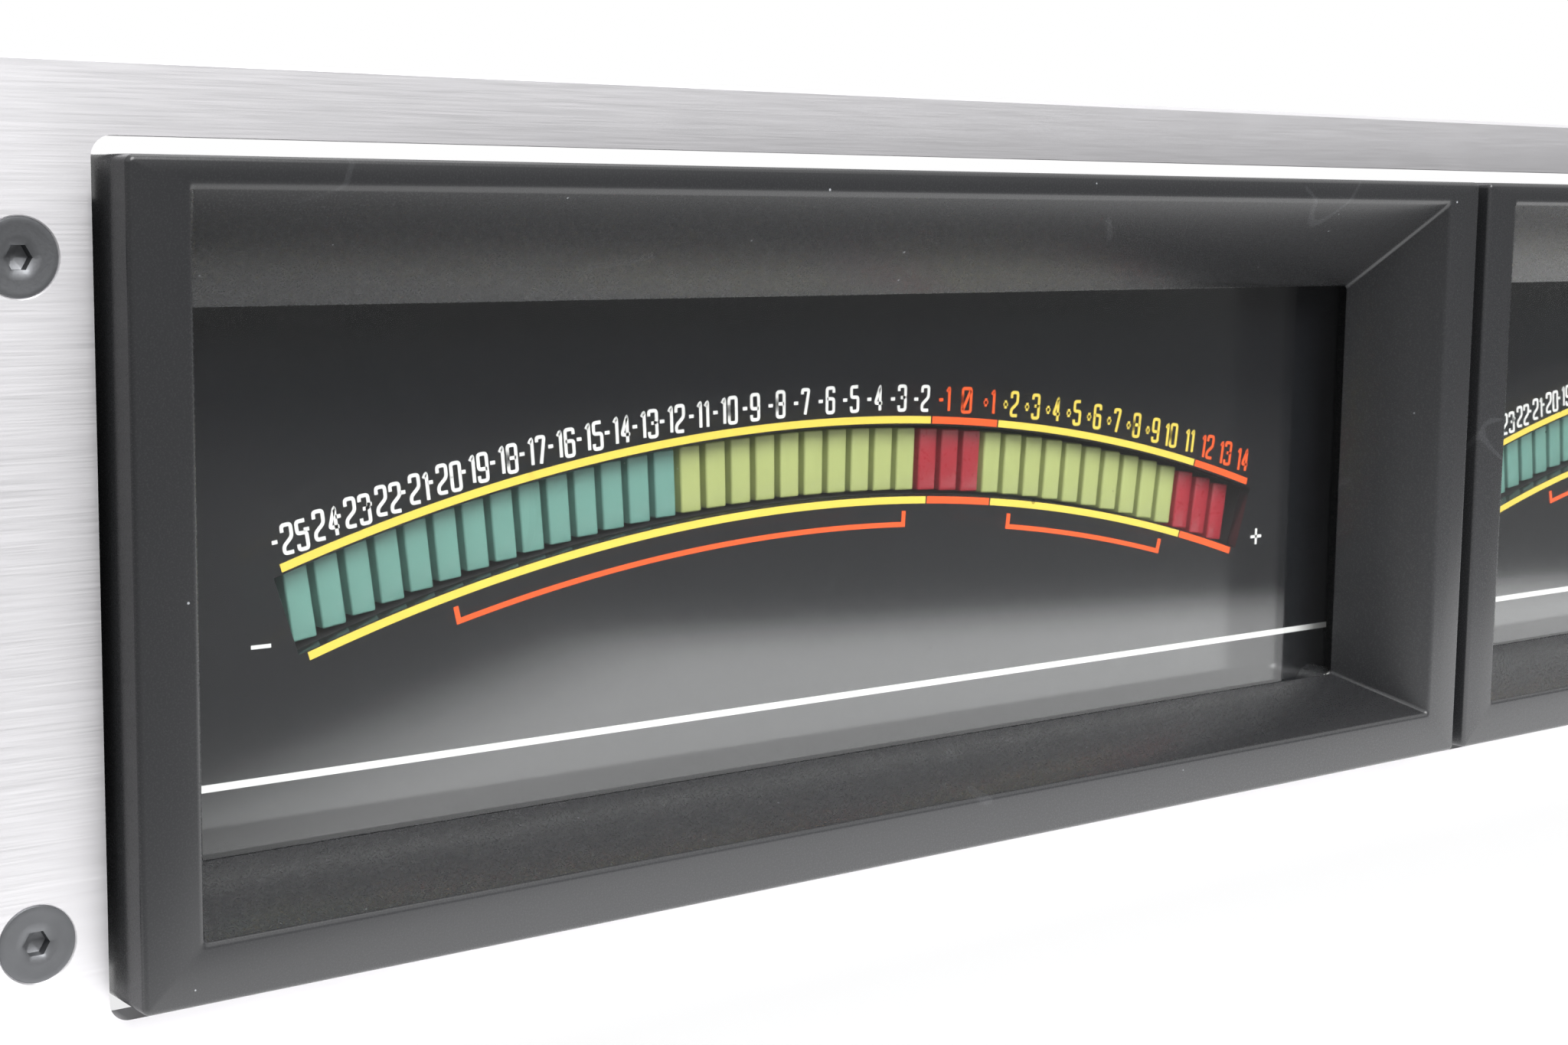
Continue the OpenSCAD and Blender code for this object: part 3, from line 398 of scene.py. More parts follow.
# Colours are linear. Names are those of the record's material slots.
FINISHES: tuple[Finish, ...] = (
    BrushedSheet("panel_aluminium", (0.77, 0.76, 0.78), 0.46, 0.8, grain_scale=6000.0, grain_stretch=60.0,
                 grain_bump=0.000005, grain_rough=0.08, tint=0.02, grain_tint=0.07, anisotropic=0.6),
    Finish("bezel_plastic", (0.03, 0.0308, 0.0328), 0.26, ior=1.56, grain_scale=6000.0, grain_bump=0.000002,
           grain_rough=0.06, dust=0.04, dust_scale=900.0, scratches=0.04),
    Finish("scale_plate", (0.0085, 0.0093, 0.011), 0.13, ior=1.75, grain_scale=2500.0, grain_bump=0.0000015,
           grain_rough=0.04, dust=0.04, dust_scale=420.0),
    ClearSheet("window_clear", (0.96, 0.97, 0.97), 0.05, ior=1.61, grain_scale=1200.0, grain_bump=0.0,
               grain_rough=0.02, tint=0.0, grain_tint=0.0, dust=0.06, dust_scale=330.0, scratches=0.1),
    Finish("bar_green", (0.155, 0.33, 0.28), 0.34, grain_scale=1800.0, dust=0.1, dust_scale=1200.0,
           dust_colour=(0.5, 0.6, 0.55), coat=0.2),
    Finish("bar_yellow", (0.43, 0.485, 0.18), 0.34, grain_scale=1800.0, dust=0.1, dust_scale=1200.0,
           dust_colour=(0.7, 0.72, 0.5), coat=0.2),
    Finish("bar_red", (0.37, 0.02, 0.033), 0.3, grain_scale=1800.0, dust=0.05, dust_scale=1200.0, coat=0.3),
    Finish("dark_screws", (0.2, 0.205, 0.215), 0.42, 0.8, grain_scale=5000.0, tint=0.3, cloud_scale=400.0),
    Finish("zinc_screws", (0.55, 0.56, 0.58), 0.32, 1.0, grain_scale=5000.0, tint=0.2, cloud_scale=300.0),
    Finish("bracket_steel", (0.5, 0.51, 0.53), 0.34, 1.0, grain_scale=1500.0, tint=0.2, cloud_scale=60.0),
    BrushedSheet("spacer_aluminium", (0.6, 0.6, 0.62), 0.35, 1.0, grain_stretch=20.0, anisotropic=0.4),
    Finish("brass", (0.7, 0.55, 0.3), 0.3, 1.0, grain_scale=4000.0),
    Finish("nylon", (0.72, 0.7, 0.62), 0.45),
    Finish("chip_plastic", (0.03, 0.03, 0.033), 0.5, grain_bump=0.00001),
    Finish("header_plastic", (0.02, 0.02, 0.021), 0.5),
    Finish("capacitor_sleeve", (0.03, 0.06, 0.2), 0.25, coat=0.3),
    Finish("wire_sleeve", (0.12, 0.1, 0.09), 0.5),
    Finish("circuit_board", (0.02, 0.13, 0.05), 0.3, coat=0.4, grain_scale=800.0, tint=0.3,
           cloud_scale=300.0),
    Finish("ribbon_plastic", (0.4, 0.41, 0.44), 0.45, grain_scale=800.0),
    Finish("case_paint", (0.03, 0.031, 0.034), 0.5, grain_scale=2200.0, grain_bump=0.00003, grain_rough=0.1,
           dust=0.04, dust_scale=500.0),
    Finish("connector_shell", (0.12, 0.12, 0.13), 0.38, 0.9, grain_scale=2500.0, grain_bump=0.00001),
    Finish("nickel", (0.72, 0.71, 0.68), 0.16, 1.0, grain_scale=3000.0, grain_bump=0.000002),
    Finish("switch_metal", (0.5, 0.5, 0.5), 0.28, 1.0, grain_scale=3000.0),
    Finish("rotor_brass", (0.75, 0.62, 0.36), 0.28, 1.0, grain_scale=4000.0),
    Finish("fuse_plastic", (0.02, 0.02, 0.022), 0.25, coat=0.2, dust=0.04),
    Finish("insert_plastic", (0.03, 0.03, 0.032), 0.45, grain_bump=0.000006),
    Finish("inlet_plastic", (0.025, 0.025, 0.028), 0.4, grain_bump=0.00001, dust=0.03),
    Finish("lamination", (0.22, 0.21, 0.2), 0.45, 0.8, grain_scale=2500.0),
    Finish("coil_tape", (0.6, 0.45, 0.12), 0.35, coat=0.3, grain_scale=800.0),
)


# Meshes ---------------------------------------------------------------------------


class Solid:
    """A mesh put together from closed forms."""

    def __init__(self) -> None:
        """Starts empty."""
        self.points: list[Place] = []
        self.faces: list[tuple[int, ...]] = []

    def add(self, points: Iterable[Place], faces: Iterable[Sequence[int]]) -> None:
        """Adds a form.

        Args:
            points: Its corners.
            faces: Its faces, as places in that list.
        """
        first = len(self.points)
        self.points += [tuple(p) for p in points]
        self.faces += [tuple(first + i for i in face) for face in faces]

    def loft(self, rings: Sequence[Sequence[Place]], closed: bool = False) -> None:
        """Joins rings of as many points each by quads.

        Args:
            rings: The rings in order.
            closed: Joins the last ring to the first; otherwise both ends are capped.
        """
        count, around = len(rings), len(rings[0])
        faces: list[tuple[int, ...]] = []
        for i in range(count if closed else count - 1):
            j = (i + 1) % count
            for k in range(around):
                n = (k + 1) % around
                faces.append((i * around + k, i * around + n, j * around + n, j * around + k))
        if not closed:
            faces.append(tuple(reversed(range(around))))
            faces.append(tuple((count - 1) * around + k for k in range(around)))
        self.add([p for ring in rings for p in ring], faces)

    def piece(self, name: str, material: bpy.types.Material, sharp: float = 35.0) -> bpy.types.Object:
        """Makes the object.

        Args:
            name: Name of the piece.
            material: Its finish.
            sharp: Edges above this angle, in degrees, stay sharp.

        Returns:
            The object, at the origin.
        """
        mesh = bpy.data.meshes.new(name)
        mesh.from_pydata(self.points, [], self.faces)
        shape = bmesh.new()
        shape.from_mesh(mesh)
        bmesh.ops.remove_doubles(shape, verts=shape.verts, dist=1e-7)
        bmesh.ops.recalc_face_normals(shape, faces=shape.faces)
        shape.to_mesh(mesh)
        shape.free()
        return finished(name, mesh, material, sharp)


def finished(
    name: str, mesh: bpy.types.Mesh, material: bpy.types.Material, sharp: float = 35.0
) -> bpy.types.Object:
    """Puts a mesh in the scene, smooth up to a given angle.

    Args:
        name: Name of the piece.
        mesh: Its mesh.
        material: Its finish.
        sharp: Edges above this angle, in degrees, stay sharp.

    Returns:
        The object.
    """
    mesh.materials.clear()
    mesh.materials.append(material)
    mesh.shade_smooth()
    mesh.set_sharp_from_angle(angle=math.radians(sharp))
    made = bpy.data.objects.new(name, mesh)
    bpy.context.scene.collection.objects.link(made)
    return made


def rounded(path: Sequence[Point], radius: float, closed: bool = False, steps: int = 4) -> list[Point]:
    """Rounds the corners of a path.

    Args:
        path: The corners.
        radius: Length taken from each side of a corner.
        closed: Whether the path runs back to its start.
        steps: Points on each round corner, less one.

    Returns:
        The points of the rounded path.
    """
    made: list[Point] = []
    count = len(path)
    for i, corner in enumerate(path):
        if not closed and i in (0, count - 1):
            made.append(corner)
            continue
        here = Vector(corner)
        back, ahead = Vector(path[i - 1]) - here, Vector(path[(i + 1) % count]) - here
        reach = min(radius, 0.48 * back.length, 0.48 * ahead.length)
        start, end = here + back.normalized() * reach, here + ahead.normalized() * reach
        for step in range(steps + 1):
            t = step / steps
            p = start * (1 - t) ** 2 + here * 2 * t * (1 - t) + end * t**2
            made.append((p.x, p.y))
    return made


def ribbon(
    solid: Solid, path: Sequence[Point], width: float, place: Callable[[float, float, float], Place],
    low: float, high: float, closed: bool = False,
) -> None:
    """Adds a flat stroke of even width along a path.

    Args:
        solid: The mesh that it goes to.
        path: Points of its middle line.
        width: Its width.
        place: Turns a path point and a depth into a place.
        low: Depth of its front face.
        high: Depth of its back face.
        closed: Whether it runs back to its start.
    """
    half, count, rings = width / 2, len(path), []
    for i, point in enumerate(path):
        here = Vector(point)
        before = Vector(path[i - 1]) if closed or i else here
        after = Vector(path[(i + 1) % count]) if closed or i < count - 1 else here
        one, two = (here - before), (after - here)
        one = one.normalized() if one.length > 1e-9 else two.normalized()
        two = two.normalized() if two.length > 1e-9 else one
        mean = (one + two).normalized() if (one + two).length > 1e-6 else one
        side = Vector((-mean.y, mean.x))
        spread = half / max(0.5, abs(side.dot(Vector((-one.y, one.x)))))
        left, right = here + side * spread, here - side * spread
        rings.append([place(left.x, low, left.y), place(right.x, low, right.y),
                      place(right.x, high, right.y), place(left.x, high, left.y)])
    solid.loft(rings, closed)


def frame_ring(low: Point, high: Point, radius: float, y: float, steps: int = 5) -> list[Place]:
    """Gives the points of a rectangle with round corners that faces the front.

    Args:
        low: Lowest X and Z.
        high: Highest X and Z.
        radius: Radius of the corners.
        y: Depth of the ring.
        steps: Points on each corner, less one.

    Returns:
        The points, in order.
    """
    ring: list[Place] = []
    centres = ((high[0] - radius, high[1] - radius, 0), (low[0] + radius, high[1] - radius, 90),
               (low[0] + radius, low[1] + radius, 180), (high[0] - radius, low[1] + radius, 270))
    for x, z, start in centres:
        for step in range(steps + 1):
            a = math.radians(start + 90 * step / steps)
            ring.append((x + radius * math.cos(a), y, z + radius * math.sin(a)))
    return ring


def disc_ring(radius: float, y: float, count: int = 48, sides: int = 0) -> list[Place]:
    """Gives a ring about the Y axis.

    Args:
        radius: Its radius, to the corners where it has sides.
        y: Its depth.
        count: Its points.
        sides: Draws a polygon of so many sides; 0 is a circle.

    Returns:
        The points, in order.
    """
    ring: list[Place] = []
    for i in range(count):
        a = 2 * math.pi * i / count
        r = radius
        if sides:
            part = math.pi / sides
            r *= math.cos(part) / math.cos((a % (2 * part)) - part)
        ring.append((r * math.cos(a), y, r * math.sin(a)))
    return ring


# Geometry Nodes -------------------------------------------------------------------


class ShapeTree(Tree):
    """A Geometry Nodes tree that repeats a piece, with named inputs."""

    def __init__(self, name: str, inputs: dict[str, str]) -> None:
        """Makes the tree with its inputs.

        Args:
            name: Name of the tree.
            inputs: Socket type of each named input, besides the piece and its finish.
        """
        super().__init__(bpy.data.node_groups.new(name, "GeometryNodeTree"))
        face = self.tree.interface
        self.sockets = {
            label: face.new_socket(label, in_out="INPUT", socket_type=f"NodeSocket{kind}").identifier
            for label, kind in {"Piece": "Object", "Finish": "Material", **inputs}.items()
        }
        face.new_socket("Geometry", in_out="OUTPUT", socket_type="NodeSocketGeometry")
        self.given = self.node("NodeGroupInput").outputs
        self.end = self.node("NodeGroupOutput").inputs

    def close(self, points: bpy.types.NodeSocket, turn: bpy.types.NodeSocket | None = None) -> None:
        """Puts the piece on the points, makes it real and gives it its finish.

        Args:
            points: The points.
            turn: Rotation of each copy.
        """
        piece = self.node("GeometryNodeObjectInfo", {"Object": self.given["Piece"]})
        settings = {"Points": points, "Instance": piece.outputs["Geometry"]}
        if turn is not None:
            settings["Rotation"] = turn
        copies = self.node("GeometryNodeInstanceOnPoints", settings)
        real = self.node("GeometryNodeRealizeInstances", {"Geometry": copies.outputs[0]})
        dressed = self.node("GeometryNodeSetMaterial",
                            {"Geometry": real.outputs[0], "Material": self.given["Finish"]})
        self.link(dressed.outputs[0], self.end[0])

    def run(self, **values: object) -> bpy.types.Mesh:
        """Runs the tree and gives its result as a plain mesh.

        Args:
            **values: Value of each input, with underscores for spaces.

        Returns:
            The mesh.
        """
        carrier = bpy.data.objects.new("carrier", bpy.data.meshes.new("carrier"))
        bpy.context.scene.collection.objects.link(carrier)
        modifier = carrier.modifiers.new("shape", "NODES")
        modifier.node_group = self.tree
        for label, value in values.items():
            modifier[self.sockets[label.replace("_", " ")]] = value
        depsgraph = bpy.context.evaluated_depsgraph_get()
        mesh = bpy.data.meshes.new_from_object(carrier.evaluated_get(depsgraph))
        carrier.modifiers.remove(modifier)
        bpy.data.objects.remove(carrier)
        return mesh


class ArcRowTree(ShapeTree):
    """Copies of a piece in a row along an arc in the X-Z plane."""

    def __init__(self) -> None:
        """Builds the tree."""
        super().__init__("Row on an arc", {
            "Count": "Int", "First angle": "Float", "Step": "Float", "Radius": "Float", "Lean": "Float",
            "Centre": "Vector",
        })
        given = self.given
        line = self.node("GeometryNodeMeshLine", {"Count": given["Count"], "Offset": (0.0, 0.0, 0.0)})
        index = self.node("GeometryNodeInputIndex").outputs[0]
        angle = self.math("ADD", given["First angle"], self.math("MULTIPLY", index, given["Step"]))
        arm = self.node("ShaderNodeCombineXYZ", {
            0: self.math("MULTIPLY", given["Radius"], self.math("SINE", angle)),
            2: self.math("MULTIPLY", given["Radius"], self.math("COSINE", angle)),
        })
        place = self.node("ShaderNodeVectorMath", {0: given["Centre"], 1: arm.outputs[0]}, operation="ADD")
        points = self.node("GeometryNodeSetPosition",
                           {"Geometry": line.outputs[0], "Position": place.outputs[0]})
        euler = self.node("ShaderNodeCombineXYZ", {1: self.math("MULTIPLY", angle, given["Lean"])})
        turn = self.node("FunctionNodeEulerToRotation", {0: euler.outputs[0]})
        self.close(points.outputs[0], turn.outputs[0])


class CornersTree(ShapeTree):
    """Copies of a piece at the four corners of a rectangle in the X-Z plane."""

    def __init__(self) -> None:
        """Builds the tree."""
        super().__init__("Copies at corners", {"Width": "Float", "Height": "Float"})
        grid = self.node("GeometryNodeMeshGrid", {
            "Size X": self.given["Width"], "Size Y": self.given["Height"], "Vertices X": 2, "Vertices Y": 2,
        })
        upright = self.node("GeometryNodeTransform",
                            {"Geometry": grid.outputs[0], "Rotation": (math.pi / 2, 0.0, 0.0)})
        self.close(upright.outputs[0])


# The meter ------------------------------------------------------------------------


@dataclass
class Workshop:
    """What every sub-assembly needs: the finishes and the trees.

    Attributes:
        groups: The shared shader groups.
        arc_row: The tree for rows on an arc.
        corners: The tree for copies at corners.
        paints: The materials made so far.
    """

    groups: Groups = field(default_factory=Groups)
    arc_row: ArcRowTree = field(default_factory=ArcRowTree)
    corners: CornersTree = field(default_factory=CornersTree)
    paints: dict[str, bpy.types.Material] = field(default_factory=dict)

    def paint(self, name: str) -> bpy.types.Material:
        """Gives the material of that name, built at its first use.

        Args:
            name: Name of the finish.

        Returns:
            The material.
        """
        if name not in self.paints:
            finish = next(f for f in FINISHES if f.name == name)
            self.paints[name] = finish.build(self.groups)
        return self.paints[name]

    def ink(self, ink: Ink) -> bpy.types.Material:
        """Gives the material of a printing ink.

        Args:
            ink: The ink.

        Returns:
            The material.
        """
        name = f"ink_{ink.name.lower()}"
        if name not in self.paints:
            finish = Finish(name, ink.value, 0.4, ior=1.4, grain_scale=3000.0, tint=0.08, grain_tint=0.06)
            self.paints[name] = finish.build(self.groups)
        return self.paints[name]

    def hand_over(self, piece: bpy.types.Object, slot: str, *nodes: str, body: str = "chassis") -> None:
        """Lets a piece ride on its body and hides the CAD nodes that it replaces.

        Args:
            piece: The finished piece.
            slot: The record's material slot; not used.
            *nodes: CAD nodes that it replaces.
            body: The body that it rides on.
        """
        if nodes:
            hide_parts(*nodes)
        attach(piece, body)
        log.info("%s: %d faces", piece.name, len(piece.data.polygons))


@dataclass
class Bezel:
    """Moulded bezel of one meter, with a sloped recess.

    Attributes:
        side: Which meter it is.
        wall: Thickness of the moulding.
        round_front: Radius of the outer front edge.
        round_rim: Rounding of the edge between rim and recess.
        rims: Flat rim at the sides, top and bottom.
        slopes: Inset of the slopes at the sides, top and bottom.
        depth: Depth of the recess.
        corner: Radius of the outer corners.
        mitre: Radius of the corners in the recess.
        boss: Distance of the screw bosses from the middle, across and up.
        boss_radius: Outer radius of a boss.
        bore_radius: Radius of its bore.
        boss_end: Where the bosses end.
        boss_bite: How far they reach into the moulding.
        lip: Depth of the slopes' last step, which is drawn in by step_in.
        step_in: Size of small steps that keep two edges apart.
    """

    side: Side
    wall: float = 2.2 * MM
    round_front: float = 0.5 * MM
    round_rim: float = 0.45 * MM
    rims: tuple[float, float, float] = (5.5 * MM, 2.4 * MM, 5.3 * MM)
    slopes: tuple[float, float, float] = (4.6 * MM, 10.6 * MM, 3.8 * MM)
    depth: float = 11.9 * MM
    corner: float = 0.7 * MM
    mitre: float = 0.5 * MM
    boss: Point = (79.6 * MM, 29.0 * MM)
    boss_radius: float = 2.8 * MM
    bore_radius: float = 1.51 * MM
    boss_end: float = 9.8 * MM
    boss_bite: float = 0.3 * MM
    lip: float = 0.25 * MM
    step_in: float = 0.1 * MM

    @property
    def node(self) -> str:
        """Name of the CAD node that it stands for."""
        return f"bezel_{self.side.value}"

    def ring(self, insets: tuple[float, float, float], y: float, corner: float) -> list[Place]:
        """Gives a ring inside the bezel's outline.

        Args:
            insets: Inset at the sides, top and bottom.
            y: Depth of the ring.
            corner: Radius of its corners.

        Returns:
            The ring's points.
        """
        low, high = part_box(self.node)
        return frame_ring((low.x + insets[0], low.z + insets[2]),
                          (high.x - insets[0], high.z - insets[1]), corner, y)

    def mould_bosses(self, solid: Solid) -> None:
        """Adds the four hollow screw bosses behind the corners of the slopes.

        Args:
            solid: The bezel's mesh.
        """
        low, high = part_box(self.node)
        middle = (low + high) / 2
        start = low.y + self.depth - self.boss_bite
        bottom = start + 2 * self.step_in
        centre = self.step_in / 10
        section = ((centre, start), (self.boss_radius, start), (self.boss_radius, self.boss_end),
                   (self.bore_radius, self.boss_end), (self.bore_radius, bottom), (centre, bottom))
        for x in (-self.boss[0], self.boss[0]):
            for z in (-self.boss[1], self.boss[1]):
                rings = [disc_ring(radius, y, 24) for radius, y in section]
                solid.loft([[(middle.x + x + px, py, middle.z + z + pz) for px, py, pz in ring]
                            for ring in rings], closed=True)

    def build(self, shop: Workshop) -> None:
        """Builds the moulding round its section and dresses it.

        Args:
            shop: The finishes and the trees.
        """
        low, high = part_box(self.node)
        front, back = low.y, high.y
        rings = [self.ring((0.0,) * 3, back, self.corner)]
        for step in range(5):
            a = math.radians(90 * step / 4)
            inset = self.round_front * (1 - math.cos(a))
            y = front + self.round_front * (1 - math.sin(a))
            rings.append(self.ring((inset,) * 3, y, max(self.corner - inset, 0.2 * MM)))
        for step in range(5):
            t = step / 4
            ahead = self.round_rim * t**2
            behind = self.round_rim * (1 - t) ** 2
            insets = tuple(r - behind + ahead * s / self.depth for r, s in zip(self.rims, self.slopes))
            rings.append(self.ring(insets, front + ahead, self.mitre))
        window = tuple(r + s for r, s in zip(self.rims, self.slopes))
        near = tuple(w - self.lip * s / self.depth for w, s in zip(window, self.slopes))
        rings.append(self.ring(near, front + self.depth - self.lip, self.mitre))
        rings.append(self.ring(tuple(w - self.step_in for w in window), front + self.depth, self.mitre))
        outside = tuple(max(w - self.wall, self.wall + self.step_in) for w in window)
        rings.append(self.ring(outside, front + self.depth, self.mitre))
        share = self.wall / self.depth
        joint = tuple(max(r + s * share - self.wall, self.wall + self.step_in / 2)
                      for r, s in zip(self.rims, self.slopes))
        rings.append(self.ring(joint, front + self.wall, self.mitre))
        rings.append(self.ring((self.wall,) * 3, front + self.wall + self.step_in / 2, self.mitre))
        rings.append(self.ring((self.wall,) * 3, back, self.mitre))
        solid = Solid()
        solid.loft(rings, closed=True)
        self.mould_bosses(solid)
        piece = solid.piece(f"bezel_moulding_{self.side.value}", shop.paint("bezel_plastic"), 28.0)
        shop.hand_over(piece, "bezel_plastic", self.node)


@dataclass
class StrokeFont:
    """Condensed figures drawn as strokes in a box one unit wide and two high.

    Attributes:
        width: Width of a full figure.
        height: Height of the figures.
        stroke: Width of a stroke.
        gap: Gap between two figures.
        bend: Rounding of the corners.
        glyphs: Width and strokes of each figure, in units.
    """

    width: float = 1.3 * MM
    height: float = 3.0 * MM
    stroke: float = 0.36 * MM
    gap: float = 0.22 * MM
    bend: float = 0.3 * MM
    glyphs: dict[str, tuple[float, tuple[tuple[Point, ...], ...]]] = field(default_factory=lambda: {
        "0": (1.0, (((0, 1), (0, 2), (1, 2), (1, 0), (0, 0), (0, 1)),)),
        "1": (0.35, (((0, 1.62), (0.35, 2), (0.35, 0)),)),
        "2": (1.0, (((0, 1.5), (0, 2), (1, 2), (1, 1.1), (0, 0.5), (0, 0), (1, 0)),)),
        "3": (1.0, (((0, 1.6), (0, 2), (1, 2), (1, 1.05), (0.3, 1.05)),
                    ((0.6, 1.05), (1, 1.05), (1, 0), (0, 0), (0, 0.4)))),
        "4": (1.0, (((0.72, 0), (0.72, 2), (0, 0.6), (1.05, 0.6)),)),
        "5": (1.0, (((0.95, 2), (0, 2), (0, 1.15), (1, 1.15), (1, 0), (0, 0), (0, 0.4)),)),
        "6": (1.0, (((1, 1.6), (1, 2), (0, 2), (0, 0), (1, 0), (1, 1.12), (0, 1.12)),)),
        "7": (0.95, (((0, 1.65), (0, 2), (0.95, 2), (0.4, 0)),)),
        "8": (1.0, (((0, 1), (0, 2), (1, 2), (1, 0), (0, 0), (0, 1)), ((0, 1.04), (1, 1.04)))),
        "9": (1.0, (((1, 0.88), (0, 0.88), (0, 2), (1, 2), (1, 0), (0, 0), (0, 0.4)),)),
        "O": (1.35, (((0, 1), (0, 2), (1.35, 2), (1.35, 0), (0, 0), (0, 1)), ((0.1, 0.15), (1.25, 1.85)))),
        "-": (0.6, (((0, 0.95), (0.6, 0.95)),)),
        "+": (0.7, (((0, 0.95), (0.7, 0.95)), ((0.35, 0.6), (0.35, 1.3)))),
    })

    def write(self, solid: Solid, text: str, place: Callable[[float, float, float], Place],
              low: float, high: float) -> None:
        """Adds a row of figures, centred on the place's own origin.

        Args:
            solid: The mesh that it goes to.
            text: The figures.
            place: Turns an offset and a depth into a place.
            low: Depth of the ink's face.
            high: Depth of the ink's back.
        """
        unit_w = self.width - self.stroke
        unit_h = (self.height - self.stroke) / 2
        length = sum(self.glyphs[c][0] * unit_w for c in text) + (len(text) - 1) * (self.stroke + self.gap)
        x = -length / 2
        for letter in text:
            wide, strokes = self.glyphs[letter]
            for path in strokes:
                points = [(x + px * unit_w, (py - 1) * unit_h) for px, py in path]
                ribbon(solid, rounded(points, self.bend), self.stroke, place, low, high)
            x += wide * unit_w + self.stroke + self.gap


@dataclass
class Scale:
    """Printed scale and lamps of one meter.

    Attributes:
        side: Which meter it is.
        half: Half of the angle that the lamps cover, in degrees.
        count: Lamps in the row.
        line_radius: Radius of the upper line's middle.
        lower_radius: Radius of the lower line's middle.
        line: Width of both lines.
        line_gap: Half of the gap in a line where its colour changes, in degrees.
        figure_radius: Radius of the figures' middle.
        lamp_radius: Radius of the lamps' middle.
        lamp: Width, height and depth of a lamp.
        lean: Share of its place on the arc by which each lamp leans.
        arc_top: Height of the upper line's top above the meter's middle.
        ink: Thickness of the print.
        rule_drop: Distance of the rule below the meter's middle.
        rule: Width of the rule.
        range_radius: Radius of the range marks.
        range_tick: Length of the ticks at their ends.
        range_line: Width of their lines.
        ranges: First and last lamp of each range mark.
        zero: Lamp over which the zero stands.
        bands: First lamp of each band of colour.
        sign_angle: Angle of the signs beyond the row, in degrees.
        sign_drop: How far the signs stand below the lamps' middle.
        sign_arm: Half of a sign's width.
        font: The figures.
    """

    side: Side
    half: float = 18.0
    count: int = 40
    line_radius: float = 214.2 * MM
    lower_radius: float = 205.3 * MM
    line: float = 0.8 * MM
    line_gap: float = 0.03
    figure_radius: float = 216.55 * MM
    lamp_radius: float = 209.68 * MM
    lamp: tuple[float, float, float] = (2.55 * MM, 7.0 * MM, 6.0 * MM)
    lean: float = 0.5
    arc_top: float = 8.8 * MM
    ink: float = 0.04 * MM
    rule_drop: float = 21.3 * MM
    rule: float = 0.7 * MM
    range_radius: float = 202.6 * MM
    range_tick: float = 1.5 * MM
    range_line: float = 0.55 * MM
    ranges: tuple[tuple[int, int], ...] = ((5, 23), (28, 36))
    zero: int = 25
    bands: tuple[int, ...] = (0, 24, 27, 37)
    sign_angle: float = 1.15
    sign_drop: float = 1.5 * MM
    sign_arm: float = 1.0 * MM
    font: StrokeFont = field(default_factory=StrokeFont)

    @property
    def step(self) -> float:
        """Angle from one lamp to the next, in degrees."""
        return 2 * self.half / self.count

    @property
    def centre(self) -> tuple[float, float]:
        """X and Z of the centre of the arcs."""
        low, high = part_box(f"bezel_{self.side.value}")
        middle = (low + high) / 2
        return middle.x, middle.z + self.arc_top - self.line_radius

    @property
    def face(self) -> float:
        """Depth of the plate's front face."""
        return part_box(f"scale_plate_{self.side.value}")[0].y

    def on_arc(self, radius: float, angle: float) -> Point:
        """Gives a point at an angle in degrees from the top.

        Args:
            radius: Distance from the centre of the arcs.
            angle: The angle.

        Returns:
            X and Z of the point.
        """
        a = math.radians(angle)
        x, z = self.centre
        return x + radius * math.sin(a), z + radius * math.cos(a)

    def arc(self, radius: float, start: float, end: float) -> list[Point]:
        """Gives the points of an arc, about one for each half degree."""
        steps = max(2, math.ceil((end - start) * 2))
        return [self.on_arc(radius, start + (end - start) * i / steps) for i in range(steps + 1)]

    def lamp_angle(self, index: float) -> float:
        """Gives the angle of a lamp's left edge, in degrees."""
        return -self.half + self.step * index

    @property
    def layer(self) -> tuple[float, float]:
        """Depths of the print's front and back, the back a little inside the plate."""
        return self.face - self.ink, self.face + self.ink / 2

    def stroke(self, solid: Solid, path: Sequence[Point], width: float) -> None:
        """Prints a stroke on the plate."""
        ribbon(solid, path, width, lambda x, y, z: (x, y, z), *self.layer)

    def colour_of(self, index: int) -> Ink:
        """Gives the ink over a lamp."""
        _, red, second, last = self.bands
        return Ink.ORANGE if red <= index < second or index >= last else Ink.YELLOW

    def figure(self, index: int) -> str:
        """Gives the figures over a lamp.

        Args:
            index: The lamp, from the left.

        Returns:
            The figures.
        """
        level = index - self.zero
        if level == 0:
            return "O"
        return str(level) if level >= 10 else f"{level:+d}"

    def print_lines(self, inks: dict[Ink, Solid]) -> None:
        """Prints the two arc lines, broken where their colour changes.

        Args:
            inks: The mesh of each ink.
        """
        gap = self.line_gap
        for first, last in zip(self.bands, (*self.bands[1:], self.count)):
            for radius in (self.line_radius, self.lower_radius):
                start = self.lamp_angle(first) + (gap if first else 0.0)
                end = self.lamp_angle(last) - (gap if last < self.count else 0.0)
                self.stroke(inks[self.colour_of(first)], self.arc(radius, start, end), self.line)

    def print_figures(self, inks: dict[Ink, Solid]) -> None:
        """Prints the figures over the lamps, and the signs at the ends of the row.

        Args:
            inks: The mesh of each ink.
        """
        for index in range(self.count):
            angle = self.lamp_angle(index + 0.5)
            x0, z0 = self.on_arc(self.figure_radius, angle)
            turn = math.radians(-angle * self.lean)
            ink = Ink.WHITE if index < self.bands[1] else self.colour_of(index)

            def place(x: float, y: float, z: float) -> Place:
                """Turns and moves an offset to the figure's place."""
                return (x0 + x * math.cos(turn) - z * math.sin(turn), y,
                        z0 + x * math.sin(turn) + z * math.cos(turn))

